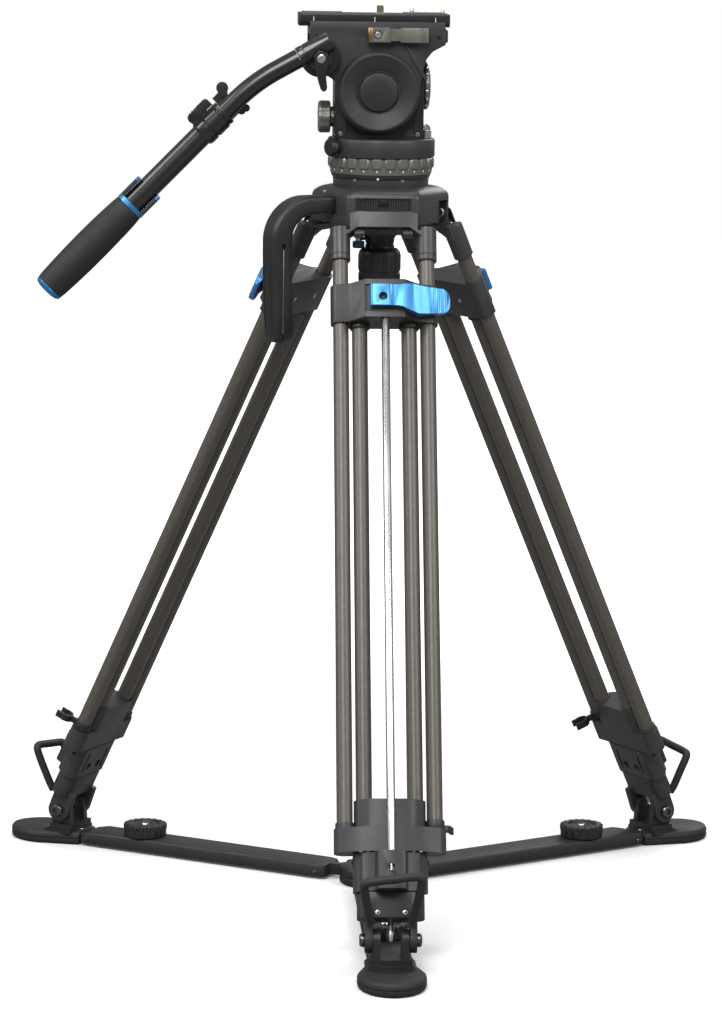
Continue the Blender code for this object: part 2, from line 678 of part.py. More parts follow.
def make_pan_bar_upper():
    points = bar_path()
    rings = []
    for index, point in enumerate(points):
        along = (points[min(index + 1, len(points) - 1)] - points[max(index - 1, 0)]).normalized()
        across = along.cross(Vector((0, 1, 0)))
        section = [2 * math.pi * step / TUBE_SIDES for step in range(TUBE_SIDES)]
        spokes = [across * math.cos(a) + Vector((0, 1, 0)) * math.sin(a) for a in section]
        rings.append([point + spoke * BAR_RADIUS for spoke in spokes])
    solid("pan_bar_upper", "bar_black", [rings_mesh(rings)], origin=(ROSETTE[0], BAR_PLANE, ROSETTE[1]))


def make_bar_clamp():
    across = [(ROSETTE[0], y, ROSETTE[1]) for y in (-CHEEK_OUTER - GAP, -48, -47, -60)]
    rosette = rod(across[0], across[1], 20.5, ROUND_SIDES)
    boss = rod(across[2], across[3], 13, 24)
    sleeve = rod(BAR_KNEE + BAR_UP * 53.4, BAR_KNEE + BAR_UP * 89, 11, 24)
    solid("bar_clamp", "bar_black", [rosette, boss, sleeve], origin=(ROSETTE[0], BAR_PLANE, ROSETTE[1]))


def make_bar_wing_lever():
    blade = [(-73.5, 880), (-69, 852), (-66, 847.5), (-62, 847.5), (-59.5, 852), (-59.8, 880)]
    outline = arc(ROSETTE, 7, 20, 160, 7) + blade
    origin = (ROSETTE[0], -69.5, ROSETTE[1])
    solid("bar_wing_lever", "plastic", [prism(outline, -75, -69.5, "y")], origin=origin)


def make_bar_collar():
    start, end = (along_lower_bar(distance) for distance in COLLAR_SPAN)
    middle = along_lower_bar(LOWER_TUBE_SPAN[0] - GAP)
    ring = rod(start, end, 16.5, 24)
    side = BAR_DOWN.cross(Vector((0, 1, 0)))
    knob_centre = along_lower_bar(62)
    knob = rod(knob_centre - side * 10, knob_centre - side * 28, 9, 20)
    upper_bore = rod(start - BAR_DOWN * 5, end, BAR_RADIUS + 0.35)
    lower_bore = rod(middle, end + BAR_DOWN * 5, BAR_SLEEVE_RADIUS + 0.35, 24)
    solid("bar_collar", "plastic", [ring, knob], [upper_bore, lower_bore], origin=tuple(knob_centre))


def make_pan_bar_lower():
    start, end = (along_lower_bar(distance) for distance in LOWER_TUBE_SPAN)
    tube = pipe(start, end, BAR_SLEEVE_RADIUS, BAR_RADIUS + 0.4, 24)
    solid("pan_bar_lower", "bar_black", [tube], origin=tuple(start))


def make_grip():
    length = GRIP_SPAN[1] - GRIP_SPAN[0]
    bore = BAR_SLEEVE_RADIUS + GAP
    blind_end = length - GRIP_CAP
    profile = [(0, blind_end), (bore, blind_end), (bore, 0), (GRIP_RADIUS, 0), (GRIP_RADIUS, 6)]
    for index in range(1, 8):
        share = index / 8
        swell = GRIP_SWELL * math.sin(math.pi * share) ** 0.7
        profile.append((GRIP_RADIUS + swell, 6 + (length - 12) * share))
    profile += [(15.5, length - 5), (14, length), (0, length)]
    start = along_lower_bar(GRIP_SPAN[0])
    solid("grip", "rubber", [turn(profile, 28, start, BAR_DOWN)], origin=tuple(start))


def make_head():
    make_bowl_ball()
    make_tie_down_knob()
    make_pan_drag_ring()
    make_pan_base()
    make_tilt_platform()
    make_camera_plate()
    make_plate_lever()
    make_tilt_covers()
    make_body_knobs()


def make_pan_bar():
    make_bar_clamp()
    make_bar_wing_lever()
    make_pan_bar_upper()
    make_bar_collar()
    make_pan_bar_lower()
    make_grip()


def main():
    clear_scene()
    make_crown()
    make_carry_handle()
    make_head()
    make_pan_bar()
    make_legs()
    make_spreader_hub()


main()
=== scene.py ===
import math
from math import cos, pi, radians, sin

import bmesh
import bpy
from mathutils import Matrix, Vector


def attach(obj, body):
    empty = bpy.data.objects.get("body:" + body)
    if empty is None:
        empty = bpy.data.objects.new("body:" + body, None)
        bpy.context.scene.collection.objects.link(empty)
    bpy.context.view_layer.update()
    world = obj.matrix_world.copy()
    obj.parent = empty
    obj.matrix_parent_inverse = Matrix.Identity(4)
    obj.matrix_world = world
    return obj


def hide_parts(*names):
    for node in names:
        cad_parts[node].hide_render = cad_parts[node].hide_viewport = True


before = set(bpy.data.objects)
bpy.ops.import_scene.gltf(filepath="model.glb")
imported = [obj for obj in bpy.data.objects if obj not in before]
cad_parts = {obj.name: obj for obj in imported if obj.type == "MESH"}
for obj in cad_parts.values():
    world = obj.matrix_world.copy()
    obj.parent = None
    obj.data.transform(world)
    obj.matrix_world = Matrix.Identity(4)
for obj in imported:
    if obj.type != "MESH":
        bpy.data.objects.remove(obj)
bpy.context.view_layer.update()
print("frame loaded:", len(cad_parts), "nodes")

mm = 0.001
up, forward, backward = (0, 0, 1), (0, -1, 0), (0, 1, 0)
legAzimuth = {"front": 0.0, "right": 120.0, "left": -120.0}


# mesh makers, all in millimetres


def loft(rings):
    mesh = bmesh.new()
    loops = [[mesh.verts.new(point) for point in ring] for ring in rings]
    for low, high in zip(loops, loops[1:]):
        for index in range(len(low)):
            after = (index + 1) % len(low)
            mesh.faces.new((low[index], low[after], high[after], high[index]))
    mesh.faces.new(list(reversed(loops[0])))
    mesh.faces.new(loops[-1])
    bmesh.ops.recalc_face_normals(mesh, faces=mesh.faces)
    return mesh


def prism(outline, low, high, axis="z"):
    place = {
        "z": lambda a, b, level: (a, b, level),
        "y": lambda a, b, level: (a, level, b),
        "x": lambda a, b, level: (level, a, b),
    }[axis]
    return loft([[place(a, b, level) for a, b in outline] for level in (low, high)])


def box(low, high):
    outline = [(low[0], low[1]), (high[0], low[1]), (high[0], high[1]), (low[0], high[1])]
    return prism(outline, low[2], high[2])


def arc(centre, radius, first, last, count):
    angles = [radians(first + (last - first) * index / (count - 1)) for index in range(count)]
    return [(centre[0] + radius * cos(a), centre[1] + radius * sin(a)) for a in angles]


def aimed(start, towards):
    turned = Vector((0, 0, 1)).rotation_difference(Vector(towards)).to_matrix().to_4x4()
    return Matrix.Translation(start) @ turned


def turned(profile, sides=64, start=(0, 0, 0), towards=(0, 0, 1)):
    mesh = bmesh.new()
    wrap = mesh.loops.layers.uv.new("wrap")
    onAxis = profile[0][0] == 0 and profile[-1][0] == 0
    rows = []
    run = [0.0]
    for before, after in zip(profile, profile[1:]):
        run.append(run[-1] + math.dist(before, after) * mm)
    run.append(run[-1] + math.dist(profile[-1], profile[0]) * mm)
    for radius, height in profile:
        if radius == 0:
            rows.append([mesh.verts.new((0, 0, height))] * sides)
            continue
        angles = [2 * pi * index / sides for index in range(sides)]
        rows.append([mesh.verts.new((radius * cos(a), radius * sin(a), height)) for a in angles])
    for level in range(len(rows) - 1 if onAxis else len(rows)):
        low = rows[level]
        high = rows[(level + 1) % len(rows)]
        for index in range(sides):
            after = (index + 1) % sides
            around = ((index, level), (index + 1, level), (index + 1, level + 1), (index, level + 1))
            corners = []
            spots = []
            for vertex, spot in zip((low[index], low[after], high[after], high[index]), around):
                if vertex not in corners:
                    corners.append(vertex)
                    spots.append(spot)
            if len(corners) > 2:
                face = mesh.faces.new(corners)
                for loop, (step, row) in zip(face.loops, spots):
                    loop[wrap].uv = (step / sides, run[row])
    bmesh.ops.recalc_face_normals(mesh, faces=mesh.faces)
    mesh.transform(aimed(start, towards))
    return mesh


def rod(start, end, radius, sides=32):
    along = Vector(end) - Vector(start)
    return turned([(0, 0), (radius, 0), (radius, along.length), (0, along.length)], sides, start, along.normalized())


def pipe(start, end, radius, bore, sides=40):
    along = Vector(end) - Vector(start)
    profile = [(bore, 0), (radius, 0), (radius, along.length), (bore, along.length)]
    return turned(profile, sides, start, along.normalized())


def smoothPath(points, steps=8):
    path = []
    spots = [Vector(point) for point in points]
    spots = [spots[0] * 2 - spots[1], *spots, spots[-1] * 2 - spots[-2]]
    for a, b, c, d in zip(spots, spots[1:], spots[2:], spots[3:]):
        for step in range(steps):
            t = step / steps
            curve = (2 * a - 5 * b + 4 * c - d) * t**2
            path.append(0.5 * (2 * b + (c - a) * t + curve + (3 * b - a - 3 * c + d) * t**3))
    return [*path, spots[-2]]


def swept(path, section, upward=(0, 0, 1)):
    rings = []
    for index, point in enumerate(path):
        along = (path[min(index + 1, len(path) - 1)] - path[max(index - 1, 0)]).normalized()
        across = along.cross(Vector(upward)).normalized()
        over = across.cross(along)
        rings.append([point + across * a + over * b for a, b in section])
    return loft(rings)


def roundSection(radius, sides=12):
    return [(radius * cos(2 * pi * i / sides), radius * sin(2 * pi * i / sides)) for i in range(sides)]


def joined(shapes):
    first = shapes[0]
    for other in shapes[1:]:
        mesh = bpy.data.meshes.new("joining")
        other.to_mesh(mesh)
        other.free()
        first.from_mesh(mesh)
        bpy.data.meshes.remove(mesh)
    return first


def asMesh(shapes):
    shape = joined(shapes)
    mesh = bpy.data.meshes.new("made")
    shape.to_mesh(mesh)
    shape.free()
    return mesh


def asShape(mesh):
    shape = bmesh.new()
    shape.from_mesh(mesh)
    return shape


def spun(degrees, axis="Z"):
    return Matrix.Rotation(radians(degrees), 4, axis)


def shifted(*spot):
    return Matrix.Translation(spot)


def placed(name, data):
    made = bpy.data.objects.new(name, data)
    bpy.context.scene.collection.objects.link(made)
    return made


def evaluatedMesh(thing):
    bpy.context.view_layer.update()
    return bpy.data.meshes.new_from_object(thing.evaluated_get(bpy.context.evaluated_depsgraph_get()))


def span(side, near, far):
    return sorted((near * side, far * side))


def turnedAbout(shape, azimuth):
    bmesh.ops.rotate(shape, cent=(0, 0, 0), matrix=Matrix.Rotation(radians(azimuth), 3, "Z"), verts=shape.verts)
    return shape


def shaped(name, adds, cuts=(), bevel=0.6, segments=2, edgeAngle=32):
    helpers = []
    for index, shape in enumerate([*adds, *cuts]):
        mesh = bpy.data.meshes.new(f"{name}{index}")
        shape.to_mesh(mesh)
        shape.free()
        helpers.append(placed(f"{name}{index}", mesh))
    base = helpers[0]
    for index, helper in enumerate(helpers[1:], start=1):
        step = base.modifiers.new(helper.name, "BOOLEAN")
        step.object = helper
        step.solver = "EXACT"
        step.operation = "UNION" if index < len(adds) else "DIFFERENCE"
    if bevel:
        edge = base.modifiers.new("edge", "BEVEL")
        edge.width = bevel
        edge.segments = segments
        edge.limit_method = "ANGLE"
        edge.angle_limit = radians(edgeAngle)
        edge.harden_normals = False
    mesh = evaluatedMesh(base)
    for helper in helpers:
        bpy.data.objects.remove(helper, do_unlink=True)
    mesh.name = name
    return mesh


def setPiece(name, mesh, finish, body, place=Matrix(), stands=(), smooth=34, slot=None):
    own = mesh.copy()
    own.name = name
    own.transform(Matrix.Scale(mm, 4) @ place)
    if place.determinant() < 0:
        own.flip_normals()
    if finish:
        own.materials.clear()
        own.materials.append(finishes[finish])
    own.shade_smooth()
    own.set_sharp_from_angle(angle=radians(smooth))
    piece = placed(name, own)
    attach(piece, body)
    if stands:
        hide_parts(*stands)


def legPlace(leg):
    azimuth = radians(legAzimuth[leg])
    hinge = (
        legValues["hingeRadius"] * sin(azimuth), -legValues["hingeRadius"] * cos(azimuth), legValues["hingeHeight"]
    )
    return Matrix.Translation(hinge) @ Matrix.Rotation(azimuth, 4, "Z") @ spun(-legValues["lean"], "X")


def anklePlace(leg):
    ankle = shifted(0, legValues["ankleInset"], -legValues["ankleDepth"])
    return legPlace(leg) @ ankle @ spun(legValues["lean"], "X")


def onLegs(name, mesh, finish, bodySuffix, stands=(), place=legPlace, only=tuple(legAzimuth), **more):
    for leg in only:
        hidden = [f"{leg}_{node}" for node in stands]
        setPiece(f"{leg}_{name}", mesh, finish, f"{leg}_{bodySuffix}", place(leg), hidden, **more)


def at(across, outward, down):
    return Vector((across, -outward, -down))


def legPrism(outline, top, bottom):
    return prism([(across, -outward) for across, outward in outline], -bottom, -top)


def mirrored(half):
    return half + [(-across, outward) for across, outward in reversed(half)]


def bothSides(spacing, top, bottom, radius, sides=40):
    return [rod(at(side * spacing, 0, top), at(side * spacing, 0, bottom), radius, sides) for side in (-1, 1)]


# shader groups and finishes


def shaderGroup(name, inputs, outputs):
    tree = bpy.data.node_groups.new(name, "ShaderNodeTree")
    for label, kind, value in inputs:
        socket = tree.interface.new_socket(label, in_out="INPUT", socket_type=kind)
        socket.default_value = value
    for label, kind in outputs:
        tree.interface.new_socket(label, in_out="OUTPUT", socket_type=kind)
    return tree, tree.nodes.new("NodeGroupInput"), tree.nodes.new("NodeGroupOutput")


def addNode(tree, kind, links=(), **values):
    node = tree.nodes.new(kind)
    for key, value in values.items():
        if hasattr(node, key):
            setattr(node, key, value)
    for source, target in links:
        tree.links.new(source, node.inputs[target])
    return node


def fill(node, **values):
    for label, value in values.items():
        node.inputs[label.replace("_", " ")].default_value = value
    return node


def maths(tree, operation, first, second):
    return addNode(tree, "ShaderNodeMath", [(first, 0), (second, 1)], operation=operation)


def grainGroup():
    tree, given, out = shaderGroup(
        "moldedGrain",
        [("Grain Scale", "NodeSocketFloat", 900.0), ("Patch Scale", "NodeSocketFloat", 18.0)],
        [("Height", "NodeSocketFloat"), ("Tone", "NodeSocketFloat")],
    )
    spot = addNode(tree, "ShaderNodeTexCoord").outputs["Object"]
    fine = addNode(tree, "ShaderNodeTexNoise", [(spot, "Vector"), (given.outputs["Grain Scale"], "Scale")])
    fill(fine, Detail=3.0)
    patch = addNode(tree, "ShaderNodeTexNoise", [(spot, "Vector"), (given.outputs["Patch Scale"], "Scale")])
    fill(patch, Detail=4.0)
    tree.links.new(fine.outputs["Fac"], out.inputs["Height"])
    tree.links.new(patch.outputs["Fac"], out.inputs["Tone"])
    return tree


def wearGroup():
    tree, given, out = shaderGroup(
        "edgeWear",
        [
            ("Base", "NodeSocketColor", (0.1, 0.1, 0.1, 1)), ("Worn", "NodeSocketColor", (0.3, 0.3, 0.3, 1)),
            ("Amount", "NodeSocketFloat", 0.3)
        ],
        [("Color", "NodeSocketColor"), ("Mask", "NodeSocketFloat")],
    )
    spot = addNode(tree, "ShaderNodeTexCoord").outputs["Object"]
    edges = addNode(
        tree, "ShaderNodeMapRange", [(addNode(tree, "ShaderNodeNewGeometry").outputs["Pointiness"], "Value")]
    )
    fill(edges, From_Min=0.505, From_Max=0.60)
    broken = addNode(tree, "ShaderNodeTexNoise", [(spot, "Vector")])
    fill(broken, Scale=160.0)
    both = maths(tree, "MULTIPLY", edges.outputs["Result"], broken.outputs["Fac"])
    scaled = maths(tree, "MULTIPLY", both.outputs[0], given.outputs["Amount"])
    mix = addNode(tree, "ShaderNodeMix", data_type="RGBA")
    tree.links.new(scaled.outputs[0], mix.inputs["Factor"])
    tree.links.new(given.outputs["Base"], mix.inputs[6])
    tree.links.new(given.outputs["Worn"], mix.inputs[7])
    tree.links.new(mix.outputs[2], out.inputs["Color"])
    tree.links.new(scaled.outputs[0], out.inputs["Mask"])
    return tree


def fibreGroup():
    tree, given, out = shaderGroup(
        "fibreStreaks",
        [("Around", "NodeSocketFloat", 14.0), ("Along", "NodeSocketFloat", 9.0), ("Twist", "NodeSocketFloat", 1.2)],
        [("Streak", "NodeSocketFloat"), ("Height", "NodeSocketFloat")],
    )
    parts = addNode(tree, "ShaderNodeSeparateXYZ", [(addNode(tree, "ShaderNodeTexCoord").outputs["UV"], "Vector")])
    turn = addNode(tree, "ShaderNodeMath", [(parts.outputs["X"], 0)], operation="MULTIPLY")
    turn.inputs[1].default_value = 2 * pi
    sine = addNode(tree, "ShaderNodeMath", [(turn.outputs[0], 0)], operation="SINE")
    cosine = addNode(tree, "ShaderNodeMath", [(turn.outputs[0], 0)], operation="COSINE")
    long = maths(tree, "MULTIPLY", parts.outputs["Y"], given.outputs["Along"])
    wide = maths(tree, "MULTIPLY", sine.outputs[0], given.outputs["Around"])
    deep = maths(tree, "MULTIPLY", cosine.outputs[0], given.outputs["Around"])
    spot = addNode(
        tree, "ShaderNodeCombineXYZ", [(wide.outputs[0], "X"), (deep.outputs[0], "Y"), (long.outputs[0], "Z")]
    )
    streak = addNode(
        tree, "ShaderNodeTexNoise", [(spot.outputs[0], "Vector"), (given.outputs["Twist"], "Distortion")]
    )
    fill(streak, Scale=0.5, Detail=5.0)
    fine = addNode(tree, "ShaderNodeTexNoise", [(spot.outputs[0], "Vector")])
    fill(fine, Scale=4.0)
    tree.links.new(streak.outputs["Fac"], out.inputs["Streak"])
    tree.links.new(fine.outputs["Fac"], out.inputs["Height"])
    return tree


grain = grainGroup()
wear = wearGroup()
fibre = fibreGroup()

def tones(base, light, rough, worn, metallic=0.0, grain=1200, bump=0.2, wear=0.25, coat=0.0):
    base, light, worn = (value if isinstance(value, tuple) else (value,) * 3 for value in (base, light, worn))
    return dict(
        base=base, light=light, rough=rough, worn=worn, metallic=metallic, grain=grain, bump=bump, wear=wear,
        coat=coat
    )


finishValues = {
    "casting": tones(
        (0.020, 0.020, 0.022), (0.031, 0.031, 0.033), (0.38, 0.50), 0.10, grain=1500, bump=0.16, coat=0.05
    ),
    "black": tones(0.006, 0.010, (0.34, 0.46), 0.05, grain=1300, bump=0.12),
    "moulded": tones(0.010, 0.016, (0.36, 0.50), 0.04, grain=1100, bump=0.2, wear=0.2),
    "barrel": tones((0.013, 0.014, 0.013), (0.020, 0.021, 0.019), (0.46, 0.60), 0.05, grain=1100, bump=0.2, wear=0.2),
    "glossBar": tones(
        (0.007, 0.007, 0.006), (0.011, 0.011, 0.009), (0.27, 0.29), 0.03, grain=3000, bump=0.01, wear=0.05, coat=0.5
    ),
    "rubber": tones(0.011, 0.019, (0.55, 0.72), 0.04, grain=1400, bump=0.3, wear=0.15),
    "foam": tones(0.009, (0.015, 0.015, 0.014), (0.60, 0.74), 0.03, grain=2300, bump=0.45, wear=0.1),
    "gunmetal": tones(
        (0.155, 0.151, 0.128), (0.205, 0.199, 0.172), (0.30, 0.42), (0.36, 0.35, 0.31), metallic=0.6, bump=0.12,
        wear=0.6
    ),
    "blue": tones(
        (0.030, 0.205, 0.500), (0.050, 0.275, 0.600), (0.30, 0.40), (0.40, 0.62, 0.82), metallic=0.7, grain=1700,
        bump=0.012, wear=0.06, coat=0.3
    ),
    "darkBlue": tones(
        (0.008, 0.055, 0.125), (0.014, 0.080, 0.170), (0.28, 0.38), (0.20, 0.35, 0.45), metallic=0.6, bump=0.08,
        wear=0.5, coat=0.1
    ),
    "chrome": tones(
        (0.56, 0.54, 0.52), (0.78, 0.76, 0.74), (0.22, 0.32), 0.8, metallic=1.0, grain=900, bump=0.02, wear=0.3
    ),
    "darkSteel": tones(
        (0.10, 0.095, 0.085), (0.17, 0.16, 0.145), (0.20, 0.32), (0.5, 0.5, 0.48), metallic=1.0, grain=900, bump=0.04,
        wear=0.6
    ),
    "brass": tones(
        (0.34, 0.20, 0.085), (0.47, 0.31, 0.15), (0.24, 0.36), (0.7, 0.6, 0.4), metallic=1.0, bump=0.05, wear=0.4
    ),
    "paleBrass": tones(
        (0.36, 0.31, 0.23), (0.50, 0.44, 0.34), (0.20, 0.30), (0.8, 0.75, 0.6), metallic=1.0, bump=0.05, wear=0.4
    ),
    "greyRubber": tones(0.05, 0.09, (0.6, 0.75), 0.15, grain=1500, bump=0.3, wear=0.2),
    "marking": tones((0.70, 0.70, 0.68), (0.80, 0.80, 0.78), (0.45, 0.55), 0.6, bump=0.05, wear=0.1),
    "socket": tones(0.004, 0.008, (0.5, 0.6), 0.05, metallic=0.3, grain=1000, bump=0.1, wear=0.1),
}


def groupNode(tree, group, **values):
    node = tree.nodes.new("ShaderNodeGroup")
    node.node_tree = group
    return fill(node, **values)


def mixColour(tree, factor, first, second):
    mix = addNode(tree, "ShaderNodeMix", [(factor, "Factor")], data_type="RGBA")
    mix.inputs[6].default_value = (*first, 1)
    mix.inputs[7].default_value = (*second, 1)
    return mix.outputs[2]


def spread(tree, source, low, high):
    node = addNode(tree, "ShaderNodeMapRange", [(source, "Value")])
    fill(node, From_Min=0.3, From_Max=0.7, To_Min=low, To_Max=high)
    return node.outputs["Result"]


def bumpFrom(tree, shader, height, strength, distance=0.0002):
    bump = addNode(tree, "ShaderNodeBump", [(height, "Height")])
    fill(bump, Strength=strength, Distance=distance)
    tree.links.new(bump.outputs["Normal"], shader.inputs["Normal"])


def newMaterial(name):
    made = bpy.data.materials.new(name)
    made.use_nodes = True
    return made, made.node_tree, made.node_tree.nodes["Principled BSDF"]


def wornColour(tree, shader, colour, worn, amount):
    edges = groupNode(tree, wear, Worn=(*worn, 1), Amount=amount)
    tree.links.new(colour, edges.inputs["Base"])
    tree.links.new(edges.outputs["Color"], shader.inputs["Base Color"])


def plainFinish(name, values):
    made, tree, shader = newMaterial(name)
    texture = groupNode(tree, grain, Grain_Scale=values["grain"])
    tone = mixColour(tree, texture.outputs["Tone"], values["base"], values["light"])
    wornColour(tree, shader, tone, values["worn"], values["wear"])
    tree.links.new(spread(tree, texture.outputs["Tone"], *values["rough"]), shader.inputs["Roughness"])
    fill(shader, Metallic=values["metallic"], Coat_Weight=values["coat"], Coat_Roughness=0.25)
    bumpFrom(tree, shader, texture.outputs["Height"], values["bump"])
    return made


def carbonFinish():
    made, tree, shader = newMaterial("carbon")
    streaks = groupNode(tree, fibre, Around=20.0, Along=3.0, Twist=0.25)
    fibreTone = addNode(tree, "ShaderNodeMapRange", [(streaks.outputs["Streak"], "Value")])
    fill(fibreTone, From_Min=0.32, From_Max=0.68)
    colour = mixColour(tree, fibreTone.outputs["Result"], (0.060, 0.054, 0.045), (0.102, 0.092, 0.079))
    wornColour(tree, shader, colour, (0.25, 0.23, 0.21), 0.2)
    tree.links.new(spread(tree, streaks.outputs["Streak"], 0.34, 0.44), shader.inputs["Roughness"])
    fill(shader, Metallic=0.2)
    bumpFrom(tree, shader, streaks.outputs["Height"], 0.08)
    return made


def wovenFinish():
    made, tree, shader = newMaterial("wovenCap")
    spot = addNode(tree, "ShaderNodeTexCoord").outputs["Object"]
    slant = addNode(tree, "ShaderNodeMapping", [(spot, "Vector")])
    fill(slant, Rotation=(0, radians(38), 0))
    ribs = addNode(tree, "ShaderNodeTexWave", [(slant.outputs[0], "Vector")], wave_type="BANDS", bands_direction="X")
    fill(ribs, Scale=160.0, Distortion=0.6)
    texture = groupNode(tree, grain, Grain_Scale=1500.0)
    colour = mixColour(tree, ribs.outputs["Fac"], (0.008, 0.008, 0.008), (0.026, 0.026, 0.028))
    wornColour(tree, shader, colour, (0.1, 0.1, 0.1), 0.2)
    tree.links.new(spread(tree, texture.outputs["Tone"], 0.32, 0.44), shader.inputs["Roughness"])
    bumpFrom(tree, shader, ribs.outputs["Fac"], 0.4, 0.0004)
    return made


def glassFinish():
    made = plainFinish("levelGlass", finishValues["chrome"])
    shader = made.node_tree.nodes["Principled BSDF"]
    fill(shader, Metallic=0.0, Transmission_Weight=0.85, IOR=1.48)
    return made


finishes = {name: plainFinish(name, values) for name, values in finishValues.items()}
finishes["carbon"] = carbonFinish()
finishes["woven"] = wovenFinish()
finishes["glass"] = glassFinish()
print("finishes made:", len(finishes))


# geometry node trees for what repeats


def nodeTree(name, inputs):
    tree = bpy.data.node_groups.new(name, "GeometryNodeTree")
    tree.interface.new_socket("Geometry", in_out="INPUT", socket_type="NodeSocketGeometry")
    for label, kind, value in inputs:
        socket = tree.interface.new_socket(label, in_out="INPUT", socket_type=kind)
        if value is not None:
            socket.default_value = value
    tree.interface.new_socket("Geometry", in_out="OUTPUT", socket_type="NodeSocketGeometry")
    return tree, tree.nodes.new("NodeGroupInput"), tree.nodes.new("NodeGroupOutput")


def endTree(tree, given, out, instances):
    real = addNode(tree, "GeometryNodeRealizeInstances", [(instances, "Geometry")])
    finish = addNode(
        tree, "GeometryNodeSetMaterial", [(real.outputs[0], "Geometry"), (given.outputs["Material"], "Material")]
    )
    tree.links.new(finish.outputs[0], out.inputs["Geometry"])


def unitRib(tree, given):
    rib = addNode(tree, "GeometryNodeMeshCylinder", [(given.outputs["Sides"], "Vertices")])
    return fill(rib, Radius=0.5, Depth=1.0)


def ringTree():
    tree, given, out = nodeTree("ringOfRibs", [
        ("Count", "NodeSocketInt", 24), ("Radius", "NodeSocketFloat", 50.0), ("Deep", "NodeSocketFloat", 2.0),
        ("Wide", "NodeSocketFloat", 6.0), ("Tall", "NodeSocketFloat", 10.0), ("Sides", "NodeSocketInt", 12),
        ("Material", "NodeSocketMaterial", None),
    ])
    ring = addNode(
        tree, "GeometryNodeMeshCircle", [(given.outputs["Count"], "Vertices"), (given.outputs["Radius"], "Radius")]
    )
    rib = unitRib(tree, given)
    share = addNode(tree, "ShaderNodeMath", [(given.outputs["Count"], 1)], operation="DIVIDE")
    share.inputs[0].default_value = 2 * pi
    spin = maths(tree, "MULTIPLY", addNode(tree, "GeometryNodeInputIndex").outputs[0], share.outputs[0])
    angle = addNode(tree, "ShaderNodeCombineXYZ", [(spin.outputs[0], "Z")])
    size = addNode(
        tree, "ShaderNodeCombineXYZ",
        [(given.outputs["Deep"], "X"), (given.outputs["Wide"], "Y"), (given.outputs["Tall"], "Z")]
    )
    copies = addNode(tree, "GeometryNodeInstanceOnPoints", [
        (ring.outputs["Mesh"], "Points"), (
            rib.outputs["Mesh"], "Instance"
        ), (angle.outputs[0], "Rotation"), (size.outputs[0], "Scale"),
    ])
    endTree(tree, given, out, copies.outputs[0])
    return tree


def rowTree():
    tree, given, out = nodeTree("rowOfRibs", [
        ("Count", "NodeSocketInt", 6), (
            "Start", "NodeSocketVector", (0, 0, 0)
        ), ("Step", "NodeSocketVector", (1, 0, 0)),
        ("Size", "NodeSocketVector", (1, 1, 1)), (
            "Angle", "NodeSocketVector", (0, 0, 0)
        ), ("Sides", "NodeSocketInt", 12),
        ("Material", "NodeSocketMaterial", None),
    ])
    row = addNode(tree, "GeometryNodeMeshLine", [
        (given.outputs["Count"], "Count"), (
            given.outputs["Start"], "Start Location"
        ), (given.outputs["Step"], "Offset"),
    ])
    rib = unitRib(tree, given)
    copies = addNode(tree, "GeometryNodeInstanceOnPoints", [
        (row.outputs["Mesh"], "Points"), (rib.outputs["Mesh"], "Instance"), (
            given.outputs["Angle"], "Rotation"
        ), (given.outputs["Size"], "Scale"),
    ])
    endTree(tree, given, out, copies.outputs[0])
    return tree


def screwTree():
    tree, given, out = nodeTree("socketScrews", [
        ("Screw", "NodeSocketObject", None), ("Size", "NodeSocketFloat", 1.0), (
            "Material", "NodeSocketMaterial", None
        ),
    ])
    aim = addNode(tree, "GeometryNodeInputNamedAttribute", data_type="FLOAT_VECTOR")
    fill(aim, Name="aim")
    aligned = addNode(tree, "FunctionNodeAlignRotationToVector", [(aim.outputs["Attribute"], "Vector")], axis="Z")
    head = addNode(tree, "GeometryNodeObjectInfo", [(given.outputs["Screw"], "Object")])
    copies = addNode(tree, "GeometryNodeInstanceOnPoints", [
        (given.outputs["Geometry"], "Points"), (head.outputs["Geometry"], "Instance"),
        (aligned.outputs[0], "Rotation"), (given.outputs["Size"], "Scale"),
    ])
    endTree(tree, given, out, copies.outputs[0])
    return tree


trees = {"ring": ringTree(), "row": rowTree(), "screws": screwTree()}


def grown(tree, finish, base=None, **values):
    holder = placed("grown", base or bpy.data.meshes.new("grown"))
    maker = holder.modifiers.new("grown", "NODES")
    maker.node_group = trees[tree]
    values["Material"] = finishes[finish]
    for item in trees[tree].interface.items_tree:
        if item.in_out == "INPUT" and item.name in values:
            maker[item.identifier] = values[item.name]
    mesh = evaluatedMesh(holder)
    bpy.data.objects.remove(holder, do_unlink=True)
    return mesh


def screwHead():
    wall = arc((0, 0), 0.52, 0, 300, 6)
    head = turned([(0, -0.6), (0.92, -0.6), (1, -0.4), (1, 0.25), (0.86, 0.45), (0.66, 0.5), (0, 0.5)], 28)
    return placed("screwHead", shaped("screwHead", [head], [prism(wall, -0.05, 1.0)], bevel=0))


screwModel = screwHead()


def screwsAt(spots, size, finish="chrome"):
    base = bpy.data.meshes.new("spots")
    base.from_pydata([spot for spot, _ in spots], [], [])
    aim = base.attributes.new("aim", "FLOAT_VECTOR", "POINT")
    for index, (_, towards) in enumerate(spots):
        aim.data[index].vector = towards
    return grown("screws", finish, base, Screw=screwModel, Size=size)


# leg castings and tubes, across, outward and down from the hinge

legValues = dict(
    hingeRadius=50, hingeHeight=731, lean=25.78, ankleInset=5.9, ankleDepth=765.7,
    ankleRadius=377.7, ankleHeight=38.94,
    outerSpacing=44.5, innerSpacing=25.25, tubeRadius=8.0, tubeBore=6.8, thirdRadius=6.2, rodOut=21.6,
    socketRadius=8.3, guideRadius=8.45,
)
outerSpacing = legValues["outerSpacing"]
innerSpacing = legValues["innerSpacing"]
rodOut = legValues["rodOut"]


